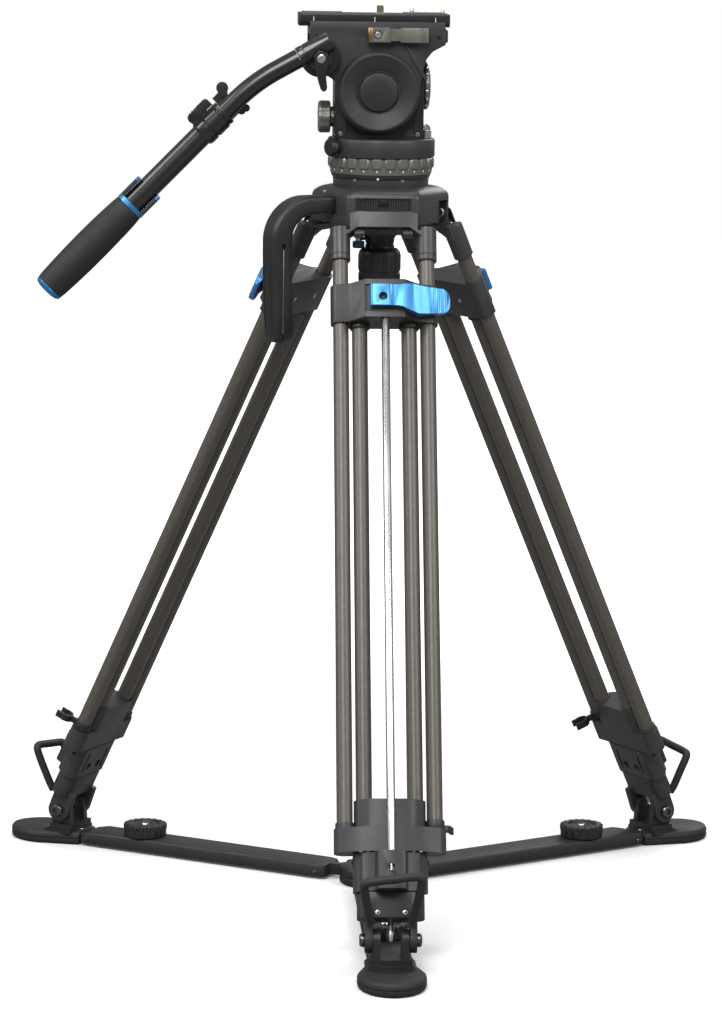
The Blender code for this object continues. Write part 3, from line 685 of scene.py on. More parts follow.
def sleeve(across, top, bottom, radius, groove=0.5):
    length = bottom - top
    profile = [
        (0, 0), (radius, 0), (radius, length - 7), (radius - groove, length - 6.6), (radius - groove, length - 5.6),
        (radius, length - 5.2), (radius, length - 0.8), (radius - 0.8, length), (0, length),
    ]
    return turned(profile, 48, at(across, 0, top), (0, 0, -1))


yokeValues = dict(
    top=12, bottom=38, sleeveEnd=61.6, sleeveRadius=10.5, half=[(25, 15), (52, 5), (52, -9)],
    earIn=20, earOut=30, earRadius=8, pinStart=15, pinRadius=4.8, screwSize=2.1,
)


def makeYoke():
    v = yokeValues
    underCrown = prism([(-11.3, -5), (-11.3, -30.5), (20, -16), (20, -5)], -60, 60, "x")
    under = prism([(-27, -28.5), (27, -28.5), (45, -39), (45, -70), (-45, -70), (-45, -39)], -60, 60, "y")
    corners = [
        prism(
            [(side * 36, -5), (side * 36, -11.3), (side * 58, -23), (side * 70, -23), (side * 70, -5)], -60, 61, "y"
        )
        for side in (-1, 1)
    ]
    bridge = shaped(
        "yokeBridge", [legPrism(mirrored(v["half"]), v["top"], v["bottom"])], [underCrown, under, *corners], bevel=0
    )
    adds = [asShape(bridge)]
    for side in (-1, 1):
        inner, outer = span(side, v["earIn"], v["earOut"])
        ear = arc((0, 0), v["earRadius"], 0, 180, 17) + [(-8, -22), (-9, -34), (4, -34), (8, -20)]
        adds.append(prism(ear, inner, outer, "x"))
        adds.append(rod((side * v["pinStart"], 0, 0), (side * 25, 0, 0), v["pinRadius"], 32))
        adds.append(sleeve(side * outerSpacing, v["top"] + 14, v["sleeveEnd"], v["sleeveRadius"]))
    sockets = bothSides(outerSpacing, v["bottom"] - 1, v["sleeveEnd"] + 9, legValues["socketRadius"], 48)
    onLegs("leg_yoke_casting", shaped("yoke", adds, sockets, bevel=0.35), "casting", "leg_upper", ["leg_yoke"])
    spots = [((side * v["earOut"], -2, -27), (side, 0, 0)) for side in (-1, 1)]
    onLegs("yoke_screws", screwsAt(spots, v["screwSize"], "socket"), "", "leg_upper")


collarValues = dict(
    top=90, bottom=131, half=[(20, 27.5), (33, 15.5), (38, 12)], endRadius=10.6, bushRadius=10.2, bushDrop=5.5,
    leverPivot=(-12.0, 32.5), screwSize=2.4,
)


def roundEnded(half, spacing, radius, back):
    end = [(spacing + radius * cos(a), radius * sin(a)) for a in (radians(66 - 12 * i) for i in range(14))]
    return mirrored([*half, *end, (spacing, back)])


def makeCollar():
    v = collarValues
    body = legPrism(roundEnded(v["half"], outerSpacing, v["endRadius"], -11), v["top"], v["bottom"])
    bores = bothSides(outerSpacing, v["top"] - 9, v["bottom"] + 9, legValues["guideRadius"], 48)
    sockets = bothSides(innerSpacing, v["top"] + 7, v["bottom"] + 9, legValues["socketRadius"], 48)
    rodSocket = rod(at(0, rodOut, v["bottom"] - 13), at(0, rodOut, v["bottom"] + 9), 4.6)
    pocket = box((-21, -60, -v["bottom"] + 6), (-12.2, -25.4, -v["top"] - 6))
    mesh = shaped("collar", [body], [*bores, *sockets, rodSocket, pocket], bevel=1.0, segments=3)
    onLegs("leg_collar", mesh, "casting", "leg_middle", ["middle_collar"])
    bushes = []
    for side in (-1, 1):
        profile = [
            (8.05, 0), (v["bushRadius"], 0), (v["bushRadius"], 4.2), (v["bushRadius"] - 1.3, v["bushDrop"]),
            (8.05, v["bushDrop"])
        ]
        bushes.append(turned(profile, 48, at(side * innerSpacing, 0, v["bottom"] - 0.2), (0, 0, -1)))
    onLegs("collar_bushes", asMesh(bushes), "moulded", "leg_middle")
    spots = [(at(side * 22, -11, 111), backward) for side in (-1, 1)]
    onLegs("collar_screws", screwsAt(spots, v["screwSize"]), "", "leg_middle")


leverValues = dict(top=98, bottom=131, ridges=5, ridgeStart=46, ridgeStep=4.0, hole=(-2.9, 112), holeRadius=4.4)


def makeLever():
    v = leverValues
    pivot = collarValues["leverPivot"]
    front = [
        (3, 37), (5, 35.9), (9, 35.4), (14, 36.2), (28, 36.6), (36, 33.2), (47, 27), (57, 23), (63, 20.6),
        (66.5, 18.4)
    ]
    back = [(66.5, 16.2), (63.5, 15), (58, 16.2), (45, 21), (25, 28.2)]
    block = legPrism(front + back + arc(pivot, 4.5, 270, 90, 15), v["top"], v["bottom"])
    kept = [
        (-30, -99), (14, -99), (20, -98.2), (29, -98.4), (36, -99.4)
    ] + arc((57.5, -107.5), 9, 84, 0, 9) + arc((56.5, -115), 10, 0, -84, 11)
    kept += [(46, -127.2), (34, -129.6), (26, -127.2), (17, -122.5), (12, -121.3), (-30, -121.3)]
    frameCut = shaped("leverFrame", [box((-60, -60, -160), (90, -5, -60))], [prism(kept, -70, 0, "y")], bevel=0)
    grooves = []
    for index in range(v["ridges"]):
        across = v["ridgeStart"] + index * v["ridgeStep"]
        outward = 27.75 - (across - 47) * 0.42
        grooves.append(rod(at(across, outward, 80), at(across, outward, 150), 0.95, 16))
    across, station = v["hole"]
    hole = rod(at(across, 31, station), at(across, 60, station), v["holeRadius"], 32)
    mesh = shaped("lever", [block], [asShape(frameCut), hole, *grooves], bevel=0.8, segments=3, edgeAngle=25)
    onLegs("collar_lever", mesh, "blue", "lever", ["cam_lever"])
    hexagonHole = prism([(across + x, z - station) for x, z in arc((0, 0), 2.2, 0, 300, 6)], -60, -31, "y")
    bolt = shaped(
        "leverBolt", [rod(at(across, 27, station), at(across, 33, station), v["holeRadius"] - 0.1, 28)],
        [hexagonHole], bevel=0.2
    )
    onLegs("lever_bolt", bolt, "socket", "lever")


guideValues = dict(
    top=629, step=657, bottom=681.5, neck=[(19, 16), (26, 13.5)], plate=[(24, 17), (37, 14)], endRadius=11,
)


def makeGuide():
    v = guideValues
    neck = legPrism(roundEnded(v["neck"], innerSpacing - 0.7, v["endRadius"], -11), v["top"], v["step"] + 1)
    plate = legPrism(roundEnded(v["plate"], outerSpacing, v["endRadius"], -10.8), v["step"], v["bottom"])
    collars = [sleeve(side * outerSpacing, v["step"] - 6, v["step"] + 3, 9.4, 0) for side in (-1, 1)]
    bores = bothSides(innerSpacing, v["top"] - 9, v["bottom"] + 9, legValues["guideRadius"], 48)
    sockets = bothSides(outerSpacing, v["step"] - 9, v["bottom"] - 5, legValues["socketRadius"] - 0.28, 48)
    rib = prism(
        [(-0.6, -v["step"] + 2), (0.6, -v["step"] + 2), (0.6, -v["top"] - 3), (-0.6, -v["top"] - 3)], -15.8, -14.4,
        "y"
    )
    mesh = shaped("guide", [neck, plate, *collars], bores + sockets + [rib], bevel=0.9, segments=3)
    onLegs("leg_guide", mesh, "casting", "leg_upper", ["guide_block"])
    spots = [(at(side * across, 12.8, v["bottom"] - 0.3), (0, 0, -1)) for side in (-1, 1) for across in (22, 29)]
    onLegs("guide_screws", screwsAt(spots, 2.6), "", "leg_upper")


clampValues = dict(
    top=682.5, bottom=720.6, half=[(11.5, 27.5), (13.6, 26.2), (16, 16.4), (18, 15), (28, 13.5)], endRadius=11,
    slot=(19, 700)
)


def makeClamp():
    v = clampValues
    body = legPrism(roundEnded(v["half"], innerSpacing + 0.7, v["endRadius"], -11), v["top"], v["bottom"])
    sockets = bothSides(innerSpacing, v["top"] - 9, v["bottom"] - 4, legValues["socketRadius"] - 0.28, 48)
    bores = bothSides(innerSpacing, v["bottom"] - 9, v["bottom"] + 9, legValues["thirdRadius"] + 0.5, 48)
    rodHole = rod(at(0, rodOut, v["top"] - 5), at(0, rodOut, v["bottom"] - 9), 4.35)
    screwHole = rod(at(0, 25.0, 699), at(0, 40, 699), 3.4, 24)
    across, station = v["slot"]
    recesses = [
        rod(at(side * across * 0.5, -8.6, station + 8), at(side * across * 0.5, -20, station + 8), 4.6, 28)
        for side in (-1, 1)
    ]
    recesses += [
        box((side * across - 1.6, 9, -station - 14), (side * across + 1.6, 20, -station + 10)) for side in (-1, 1)
    ]
    mesh = shaped("clamp", [body], [*sockets, *bores, rodHole, screwHole, *recesses], bevel=1.0, segments=3)
    onLegs("leg_clamp", mesh, "casting", "leg_middle", ["rod_clamp"])
    shaft = turned([(0, 0), (4.05, 0), (4.25, 0.3), (4.25, 590), (0, 590)], 40, at(0, rodOut, 119.2), (0, 0, -1))
    onLegs("control_rod", asMesh([shaft]), "chrome", "leg_middle")
    spots = [(at(side * 37, 0, 690), (side, 0, 0)) for side in (-1, 1)] + [(at(0, 24.8, 699), forward)]
    onLegs("clamp_screws", screwsAt(spots, 2.3, "socket"), "", "leg_middle")


def makeTubes():
    for stage, spacing, top, bottom, body in (
        ("upper", outerSpacing, 37.4, 676.0, "leg_upper"),
        ("middle", innerSpacing, 97.5, 716.1, "leg_middle"),
    ):
        for side, across in (("left", -1), ("right", 1)):
            tube = pipe(
                at(across * spacing, 0, top), at(across * spacing, 0, bottom), legValues["tubeRadius"],
                legValues["tubeBore"], 48
            )
            stands = [f"{stage}_tube_{side}"]
            onLegs(f"{stage}_carbon_{side}", asMesh([tube]), "carbon", body, stands)


footValues = dict(
    top=721.2, bottom=747, half=[(19, 14), (25, 12)], thirdTop=300, earIn=18.3, earOut=25.5, earRadius=12.5,
    boltRadius=6.8,
)


def makeFootSection():
    v = footValues
    inset, depth = legValues["ankleInset"], legValues["ankleDepth"]
    adds = [legPrism(roundEnded(v["half"], 22.5, 10.8, -12), v["top"], v["bottom"])]
    for side in (-1, 1):
        inner, outer = span(side, v["earIn"], v["earOut"])
        outline = arc((inset, -depth), v["earRadius"], 180, 360, 25) + [
            (16, -v["bottom"] + 6), (-8, -v["bottom"] + 6)
        ]
        adds.append(prism(outline, inner, outer, "x"))
        adds.append(rod((side * 11, inset, -depth), (side * 24, inset, -depth), 4.0, 28))
    onLegs(
        "foot_casting", shaped("footCasting", adds, bevel=1.1, segments=3), "casting", "foot_section",
        ["foot_section"]
    )
    thirds = [
        pipe(
            at(side * innerSpacing, 0, v["thirdTop"]), at(side * innerSpacing, 0, v["top"] + 2),
            legValues["thirdRadius"], 5.2, 40
        )
        for side in (-1, 1)
    ]
    onLegs("third_stage_tubes", asMesh(thirds), "carbon", "foot_section")
    spikeProfile = [
        (0, 0), (2.2, 0), (2.7, 0.6), (4.2, 4.4), (4.2, 8), (3.6, 8.6), (3.6, 9.6), (3.2, 10.2), (3.2, 30), (0, 30)
    ]
    spike = turned(spikeProfile, 36, (0, inset - 1, -depth - 2))
    onLegs("spike", asMesh([spike]), "chrome", "foot_section")
    bolts = []
    for side in (-1, 1):
        profile = [
            (0, -4), (v["boltRadius"] - 1, -4), (v["boltRadius"] - 1, 0), (v["boltRadius"], 0.4),
            (v["boltRadius"], 3.2), (v["boltRadius"] - 1.2, 4.8), (4.4, 5.2), (0, 5.2)
        ]
        head = turned(profile, 44, (side * v["earOut"], inset, -depth), (side, 0, 0))
        hexagon = prism(
            [(inset + y, -depth + z) for y, z in arc((0, 0), 3.5, 0, 300, 6)],
            *sorted((side * (v["earOut"] + 2), side * 40)), "x"
        )
        bolts.append(asShape(shaped("bolt", [head], [hexagon], bevel=0.2)))
    onLegs("ankle_bolts", asMesh(bolts), "darkSteel", "foot_section")
    spots = [(at(side * 13.5, 13.6, 742), forward) for side in (-1, 1)]
    onLegs("clevis_screws", screwsAt(spots, 2.6), "", "foot_section")
    makeStrap()


def makeStrap():
    spots = [
        (19.5, 12, 751), (22, 18, 745), (25.5, 31, 732), (28, 42.5, 720), (27.2, 47, 715.2), (21, 48.2, 713.8),
        (0, 47.4, 716.2)
    ]
    spots += [
        (-21, 46.4, 718.6), (-27.2, 45, 720.2), (-28, 41, 724), (-25.5, 30, 734.5), (-22, 18, 747), (-19.5, 12, 752)
    ]
    path = smoothPath([at(*spot) for spot in spots], 6)
    section = [(a * 1.3, b * 1.3) for a, b in arc((0, 0), 3.3, 0, 337.5, 16)]
    rings = []
    for index, point in enumerate(path):
        along = (path[min(index + 1, len(path) - 1)] - path[max(index - 1, 0)]).normalized()
        flat = Vector((0, -1, -1)).normalized()
        wide = along.cross(flat).normalized()
        rings.append([point + wide * a + flat * b for a, b in section])
    onLegs("pull_strap", asMesh([loft(rings)]), "rubber", "foot_section")


clipValues = dict(swing={"front": -65, "right": -75, "left": 85}, low=657.2, high=648.5, reach=23)


def makeClips():
    v = clipValues
    ring = pipe((0, 0, 0), (0, 0, v["low"] - v["high"]), 9.7, 8.05, 40)
    bar = box((8.8, -1.7, 1), (v["reach"] - 6.4, 1.7, 7.4))
    claw = prism(arc((v["reach"], 0), 8.2, 46, 314, 25) + arc((v["reach"], 0), 6.0, 314, 46, 25), 0.5, 7.8)
    tips = [
        box((v["reach"] + 4.2, side * 6.4 - 1.4, 0.5), (v["reach"] + 8.8, side * 6.4 + 1.4, 7.8)) for side in (-1, 1)
    ]
    mesh = shaped("clip", [ring, bar, claw, *tips], bevel=0.5)
    for leg, swing in v["swing"].items():
        spot = Matrix.Translation(at(outerSpacing, 0, v["low"])) @ spun(-swing)
        setPiece(f"{leg}_tube_clip", mesh, "moulded", f"{leg}_leg_upper", legPlace(leg) @ spot)


# foot pads, spreader arms and hub: across, towards the hub, up from the ankle


def floorLevel(height):
    return height - legValues["ankleHeight"]


def fromHub(radius):
    return legValues["ankleRadius"] - radius


padValues = dict(
    toeHalf=34, toeLong=41, toeCentre=-30, heel=[(34, -25), (22, 14), (19, 23), (-19, 23), (-22, 14), (-34, -25)],
)


def makePad():
    v = padValues
    half = arc((0, 0), v["toeHalf"], 180, 360, 41)
    outline = [(x, v["toeCentre"] + y * v["toeLong"] / v["toeHalf"]) for x, y in half] + v["heel"]
    rings = []
    for grow, height in (
        (0.90, 0), (0.955, 0.7), (0.985, 2.2), (1, 4), (1, 6.2), (0.972, 6.7), (0.972, 7.7), (1, 8.2), (0.995, 10.2),
        (0.965, 12.6), (0.925, 13.8), (0.90, 14)
    ):
        deep = 0.4 + 0.6 * grow
        rings.append([
            (x * grow, v["toeCentre"] + 12 + (y - v["toeCentre"] - 12) * deep, floorLevel(height))
            for x, y in outline
        ])
    sole = shaped("sole", [loft(rings)], bevel=0)
    onLegs("pad_sole", sole, "rubber", "pad", ["foot_pad"], anklePlace, slot="rubber_foot")
    steps = []
    for index, (wide, front, height) in enumerate(((25, -30, 15.0), (23.5, -26, 16.2), (22.5, -22, 17.4))):
        outline = [(-wide, 14), (-wide, -14)] + [
            (wide * cos(a), -14 + (front + 14) * sin(a)) for a in [pi * (1 - i / 16) for i in range(1, 16)]
        ] + [(wide, -14), (wide, 14)]
        steps.append(prism(outline, floorLevel(12 + index), floorLevel(height)))
    block = box((-21, -13, floorLevel(13)), (21, 15, floorLevel(22)))
    cheeks = []
    for side in (-1, 1):
        inner, outer = span(side, 10.6, 17.7)
        cheek = arc((0, 0), 11, 0, 180, 25) + [(-12.5, floorLevel(16)), (12.5, floorLevel(16))]
        cheeks.append(prism(cheek, inner, outer, "x"))
    bore = rod((-40, 0, 0), (40, 0, 0), 4.2, 32)
    room = rod((-10.4, 0, 0), (10.4, 0, 0), 14, 48)
    mesh = shaped("padBlock", [steps[0], steps[1], steps[2], block, *cheeks], [bore, room], bevel=0.8, segments=2)
    onLegs("pad_block", mesh, "moulded", "pad", (), anklePlace, slot="rubber_foot")
    stem = box((-14.3, 18, floorLevel(6.5)), (14.3, fromHub(200), floorLevel(13.5)))
    onLegs("pad_stem", shaped("stem", [stem], bevel=1.2, segments=3), "moulded", "pad", (), anklePlace)
    pin = [
        ((0, fromHub(362), floorLevel(13.6)), up), ((-14.2, -6, floorLevel(22.2)), up),
        ((14.2, -6, floorLevel(22.2)), up)
    ]
    onLegs("pad_pins", screwsAt(pin, 2.3), "", "pad", (), anklePlace)


armValues = dict(knobPlace=280, knobTeeth=18, knobRadius=24)


def makeArm():
    v = armValues
    rings = []
    for radius, inset, top in (
        (352.5, 0.10, 13), (350, 0.04, 14.2), (336, 0, 17), (60, 0, 17), (50, 0.06, 16.6), (47, 0.16, 15.6)
    ):
        section = [
            (-20, 3), (20, 3), (20, top - 2.6), (18.8, top - 0.6), (16.5, top), (-16.5, top), (-18.8, top - 0.6),
            (-20, top - 2.6)
        ]
        rings.append([(x * (1 - inset), fromHub(radius), floorLevel(z)) for x, z in section])
    tongue = box((-4.5, fromHub(49), floorLevel(4)), (4.5, fromHub(29), floorLevel(16)))
    cavity = box((-15.2, fromHub(360), floorLevel(5.6)), (15.2, fromHub(85), floorLevel(14.4)))
    mesh = shaped("arm", [loft(rings), tongue], [cavity], bevel=0.7, segments=2)
    onLegs("spreader_arm", mesh, "barrel", "arm", ["arm_channel"], anklePlace)
    spots = [((side * 20, fromHub(radius), floorLevel(8)), (side, 0, 0)) for side in (-1, 1) for radius in (58, 345)]
    onLegs("arm_screws", screwsAt(spots, 2.2, "darkSteel"), "", "arm", (), anklePlace)
    outline = []
    for index in range(v["knobTeeth"] * 8):
        angle = 2 * pi * index / (v["knobTeeth"] * 8)
        reach = v["knobRadius"] - 1.3 + 1.3 * math.tanh(2.6 * cos(v["knobTeeth"] * angle))
        outline.append((reach * cos(angle), reach * sin(angle)))
    rings = [
        [(x * grow, y * grow, floorLevel(z)) for x, y in outline] for grow,
        z in ((1, 25), (1, 29.8), (0.98, 30.7), (0.92, 31.2))
    ]
    skirt = turned([(0, 17.5), (22.4, 17.5), (23.2, 18.2), (23.4, 26), (0, 26)], 64, (0, 0, floorLevel(0)))
    dish = turned([(0, 28.6), (14.5, 28.6), (16.5, 31.8), (0, 31.8)], 56, (0, 0, floorLevel(0)))
    mesh = shaped("armKnob", [loft(rings), skirt], [dish], bevel=0.3)
    centre = shifted(0, fromHub(v["knobPlace"]), 0)
    onLegs("arm_lock_knob", mesh, "moulded", "arm_lock", ["arm_knob"], lambda leg: anklePlace(leg) @ centre)
    ribs = grown("ring", "greyRubber", Count=v["knobTeeth"], Radius=11.6, Deep=4.4, Wide=1.5, Tall=1.4, Sides=8)
    level = centre @ shifted(0, 0, floorLevel(28.8))
    onLegs("arm_lock_ribs", ribs, "", "arm_lock", (), lambda leg: anklePlace(leg) @ level, slot="black_plastic")
    onLegs(
        "arm_lock_bolt", screwsAt([((0, 0, floorLevel(28.9)), up)], 4.4), "", "arm_lock", (),
        lambda leg: anklePlace(leg) @ centre
    )


hubValues = dict(screwCircle=14.5, screwAngles=(90, 210, 330), screwSize=2.8)


def makeHub():
    v = hubValues
    profile = [
        (0, 0), (30.5, 0), (33, 2), (33, 7.6), (32.2, 8.2), (32.2, 9.4), (33, 10), (33, 16.6), (31.4, 19.2), (27, 20),
        (21, 20), (20, 18.8), (9, 18.8), (8, 20), (0, 20)
    ]
    notches = [turnedAbout(box((-5.4, -60, -5), (5.4, -26.5, 30)), azimuth) for azimuth in legAzimuth.values()]
    mesh = shaped("hub", [turned(profile, 72)], notches, bevel=0.6)
    setPiece("spreader_centre", mesh, "moulded", "hub", stands=["spreader_hub"])
    circle = v["screwCircle"]
    spots = [((circle * cos(a), circle * sin(a), 19), up) for a in map(radians, v["screwAngles"])]
    setPiece("hub_screws", screwsAt([*spots, ((0, 0, 20.2), up)], v["screwSize"]), "", "hub")


for make in (
    makeYoke, makeCollar, makeLever, makeGuide, makeClamp, makeTubes, makeFootSection, makeClips, makePad, makeArm,
    makeHub
):
    make()
print("legs made")


# crown, bowl and carry handle, in the tripod's own frame


def hexagon(reach, rounding, height, steps=7):
    points = []
    for corner in range(6):
        facing = 60 * corner
        centre = reach - rounding / cos(radians(30))
        middle = (centre * cos(radians(facing)), centre * sin(radians(facing)))
        points += [(x, y, height) for x, y in arc(middle, rounding, facing - 30, facing + 30, steps)]
    return points


crownValues = dict(
    bowl=50.35, bowlCentre=752,
    wall=[
        (73, 9, 712.5), (73, 9, 738.5), (72.4, 9.5, 741.6), (70.8, 11, 744.2), (67.5, 14, 746.6), (63.5, 18, 748.4),
        (59.5, 24, 749.4), (57.5, 28, 749.7)
    ],
    tabHalf=28.5, tabTop=739.6, tabFace=60.9, ribs=21, ribStep=2.62,
)


def makeCrown():
    v = crownValues
    bowl = [(0, 717)] + [(math.sqrt(v["bowl"]**2 - (v["bowlCentre"] - z) ** 2), z) for z in range(717, 753, 3)]
    cuts = [
        turned([*bowl, (v["bowl"] + 0.1, 752), (v["bowl"] + 0.1, 765), (0, 765)], 96),
        rod((0, 0, 700), (0, 0, 720), 14, 48)
    ]
    for azimuth in legAzimuth.values():
        for side in (-1, 1):
            inner, outer = span(side, 19, 31)
            cuts.append(turnedAbout(box((inner, -59.7, 700), (outer, -40.5, 740.5)), azimuth))
            cuts.append(turnedAbout(box((inner + 0.01, -90, 699), (outer - 0.01, -46, 724)), azimuth))
        tab = [
            (-v["tabHalf"] - 2, 705), (v["tabHalf"] + 2, 705), (v["tabHalf"], v["tabTop"]),
            (-v["tabHalf"], v["tabTop"])
        ]
        cuts.append(turnedAbout(prism(tab, -70, -v["tabFace"], "y"), azimuth))
    strapSlot = turnedAbout(box((10, -75, 700), (30, -55.5, 735)), 60)
    mesh = shaped("crown", [loft([hexagon(*ring) for ring in v["wall"]])], [*cuts, strapSlot], bevel=0.8, segments=3)
    setPiece("crown_casting", mesh, "casting", "crown", stands=["crown"])
    start = -(v["ribs"] - 1) / 2 * v["ribStep"]
    for leg, azimuth in legAzimuth.items():
        ribs = grown(
            "row", "moulded", Count=v["ribs"], Start=(start, -v["tabFace"], 732.2), Step=(v["ribStep"], 0, 0),
            Size=(1.2, 1.6, 13.2), Sides=10
        )
        setPiece(f"{leg}_tab_ribs", ribs, "", "crown", spun(azimuth), slot="casting")
        catch = shaped("catch", [box((-4.4, -62.6, 731.5), (4.4, -60.2, 738.6))], bevel=0.5)
        setPiece(f"{leg}_tab_catch", catch, "socket", "crown", spun(azimuth), slot="casting")
    loop = pipe((0, 0, -1.6), (0, 0, 1.6), 5.2, 3.4, 32)
    ring = spun(60) @ shifted(20, -59, 722) @ spun(90, "Y")
    setPiece("strap_ring", shaped("strapRing", [loop], bevel=0.6), "chrome", "crown", ring)


handleValues = dict(azimuth=-60, radius=36, half=13, thick=11)


def makeHandle():
    v = handleValues
    middle = [(63.5, 731), (70, 731), (78, 731)] + arc((90, 695), v["radius"], 84, 0, 14)
    middle += [(126, 682), (125.8, 672), (125.2, 648), (124, 620), (122.2, 598), (121.7, 593.5), (121.4, 592)]
    section = []
    for centre, first in (
        ((v["half"] - 5, v["thick"] - 5), 0), ((-v["half"] + 5, v["thick"] - 5), 90),
        ((-v["half"] + 5, -v["thick"] + 5), 180), ((v["half"] - 5, -v["thick"] + 5), 270)
    ):
        section += arc(centre, 5, first, first + 90, 6)
    rings = []
    for index, (reach, height) in enumerate(middle):
        along = (Vector(middle[min(index + 1, len(middle) - 1)]) - Vector(middle[max(index - 1, 0)])).normalized()
        side = Vector((along.y, -along.x))
        shrink = 1 - 0.12 * max(0, index - len(middle) + 3)
        deep = shrink * min(1.1, 0.86 + 0.016 * index)
        rings.append([(a * shrink, -(reach - side.x * b * deep), height - side.y * b * deep) for a, b in section])
    slot = box((10.6, -126.3, 588), (20, -124.9, 688))
    grooves = [
        prism([(-134.6, 668), (-145, 668), (-145, 588), (-134.6, 588)], t - 0.5, t + 0.5, "x") for t in (-6.5, 6.5)
    ]
    hole = rod((9, -125.6, 690), (20, -125.6, 690), 2.2, 24)
    mesh = shaped("handle", [loft(rings)], [slot, hole, *grooves], bevel=0.35, segments=2)
    setPiece("carry_handle_grip", mesh, "moulded", "crown", spun(v["azimuth"]), stands=["carry_handle"])
    # chrome strip along the groove's edge: a painted highlight that stands in for the light line the groove's edge
    # catches
    strip = shaped("handleStrip", [box((10.2, -126.1, 600), (12.5, -125.1, 686))], bevel=0.2)
    setPiece("handle_strip", strip, "chrome", "crown", spun(v["azimuth"]))
    screws = screwsAt([((0, -69, 744.6), up)], 2.4)
    setPiece("handle_screw", screws, "", "crown", spun(v["azimuth"]))


ballValues = dict(radius=49.9, centre=752, firstScrew=24, screwStep=60, screwRadius=49.3, screwHeight=756.6)


def makeBowlBall():
    v = ballValues
    profile = [(0, 676), (4.4, 676), (5, 676.6), (5, 722)]
    profile += [
        (math.sqrt(v["radius"]**2 - (v["centre"] - z) ** 2), z)
        for z in (722, 726, 730, 734, 738, 742, 746, 750, 752, 754, 757)
    ]
    profile += [(51.9, 760.2), (52.1, 761.2), (51.6, 761.7), (30, 761.7), (30, 779.3), (0, 779.3)]
    setPiece("bowl_ball_turning", asMesh([turned(profile, 96)]), "casting", "ball", stands=["bowl_ball"])
    spots = []
    for azimuth in range(v["firstScrew"], v["firstScrew"] + 360, v["screwStep"]):
        direction = Vector((sin(radians(azimuth)), -cos(radians(azimuth)), 0))
        spots.append((direction * v["screwRadius"] + Vector((0, 0, v["screwHeight"])), direction))
    setPiece(
        "bowl_ball_screws", screwsAt([(tuple(spot), tuple(towards)) for spot, towards in spots], 1.9), "", "ball"
    )
    dot = turned(
        [(0, -0.4), (1.3, -0.4), (1.3, 0.2), (1.0, 0.35), (0, 0.35)], 24, (-5.7, -51.0, 758.4), (-0.11, -1, -0.25)
    )
    setPiece("index_dot", asMesh([dot]), "marking", "ball")


tieDownValues = dict(
    flutes=30, fluteRadius=21.6, fluteHeight=669, stop=(-22.5, -6, 683.5), stopRidges=22, stopRadius=6.0
)


def makeTieDown():
    v = tieDownValues
    profile = [
        (0, 646.5), (18.8, 646.5), (20, 647), (21.6, 648.8), (22, 650.4), (22, 657.6), (21.3, 658.2), (21.3, 659.4),
        (22, 660)
    ]
    profile += [
        (22, 678), (21.2, 680.4), (18.4, 683), (16, 683.4), (15.2, 684.6), (15.2, 686.5), (14.5, 687), (14.5, 688.6),
        (15.2, 689.2)
    ]
    profile += [
        (15.2, 693.4), (16, 695), (19.6, 699.2), (20, 700.4), (20, 707.6), (19.6, 708), (5.6, 708), (5.6, 673),
        (0, 673)
    ]
    setPiece("tie_down_handle", asMesh([turned(profile, 72)]), "moulded", "tie_down", stands=["tie_down_knob"])
    flutes = grown(
        "ring", "moulded", Count=v["flutes"], Radius=v["fluteRadius"], Deep=1.6, Wide=2.2, Tall=15.0, Sides=12
    )
    setPiece("tie_down_flutes", flutes, "", "tie_down", shifted(0, 0, v["fluteHeight"]), slot="black_plastic")
    middle = shifted(*v["stop"])
    small = turned([(0, 0), (5.4, 0), (6, 0.5), (6, 7), (5.4, 7.5), (0, 7.5)], 40)
    setPiece("tie_down_stop", asMesh([small]), "darkBlue", "tie_down", middle)
    ridges = grown(
        "ring", "darkBlue", Count=v["stopRidges"], Radius=v["stopRadius"], Deep=0.8, Wide=0.9, Tall=5.4, Sides=8
    )
    setPiece("tie_down_stop_ridges", ridges, "", "tie_down", middle @ shifted(0, 0, 3.7), slot="blue_anodised")
    pin = turned([(0, 7), (3.2, 7), (3.2, 12.6), (2.6, 13.2), (0, 13.2)], 32)
    setPiece("tie_down_stop_pin", asMesh([pin]), "chrome", "tie_down", middle)
    arm = shaped("stopArm", [box((0, -3, 8.4), (13, 3, 11.6))], bevel=0.6)
    setPiece("tie_down_stop_arm", arm, "moulded", "tie_down", middle)


# fluid head


def lobedOutline(radius, depth, count, steps=12, notch=0.17):
    points = []
    for index in range(count * steps):
        phase = (index / steps) % 1 - 0.5
        reach = radius - depth * math.exp(-((phase / notch) ** 4))
        angle = 2 * pi * (index + steps / 2) / (count * steps) - pi / 2
        points.append((reach * cos(angle), reach * sin(angle)))
    return points


ringValues = dict(radius=55.5, depth=2.1, count=24, low=768.6, high=779.3)


def makeDragRing():
    v = ringValues
    lobes = lobedOutline(v["radius"], v["depth"], v["count"])
    rings = []
    for shrink, height in (
        (1.2, v["low"]), (0.2, v["low"] + 0.9), (0, v["low"] + 2), (0, v["high"] - 1.2), (0.9, v["high"])
    ):
        rings.append([(x * (1 - shrink / v["radius"]), y * (1 - shrink / v["radius"]), height) for x, y in lobes])
    bore = rod((0, 0, 750), (0, 0, 790), 31, 64)
    skirt = turned([(0, 762), (52.2, 762), (52.8, 762.6), (53.6, 768), (53.6, 769.4), (0, 769.4)], 96)
    setPiece(
        "drag_ring", shaped("dragRing", [loft(rings), skirt], [bore], bevel=0), "gunmetal", "pan_ring",
        stands=["pan_drag_ring"], smooth=28
    )
    ticks = grown("ring", "marking", Count=v["count"], Radius=53.3, Deep=0.9, Wide=1.2, Tall=2.2, Sides=16)
    setPiece("drag_ring_ticks", ticks, "", "pan_ring", shifted(0, 0, 766.4) @ spun(7.5), slot="gunmetal")


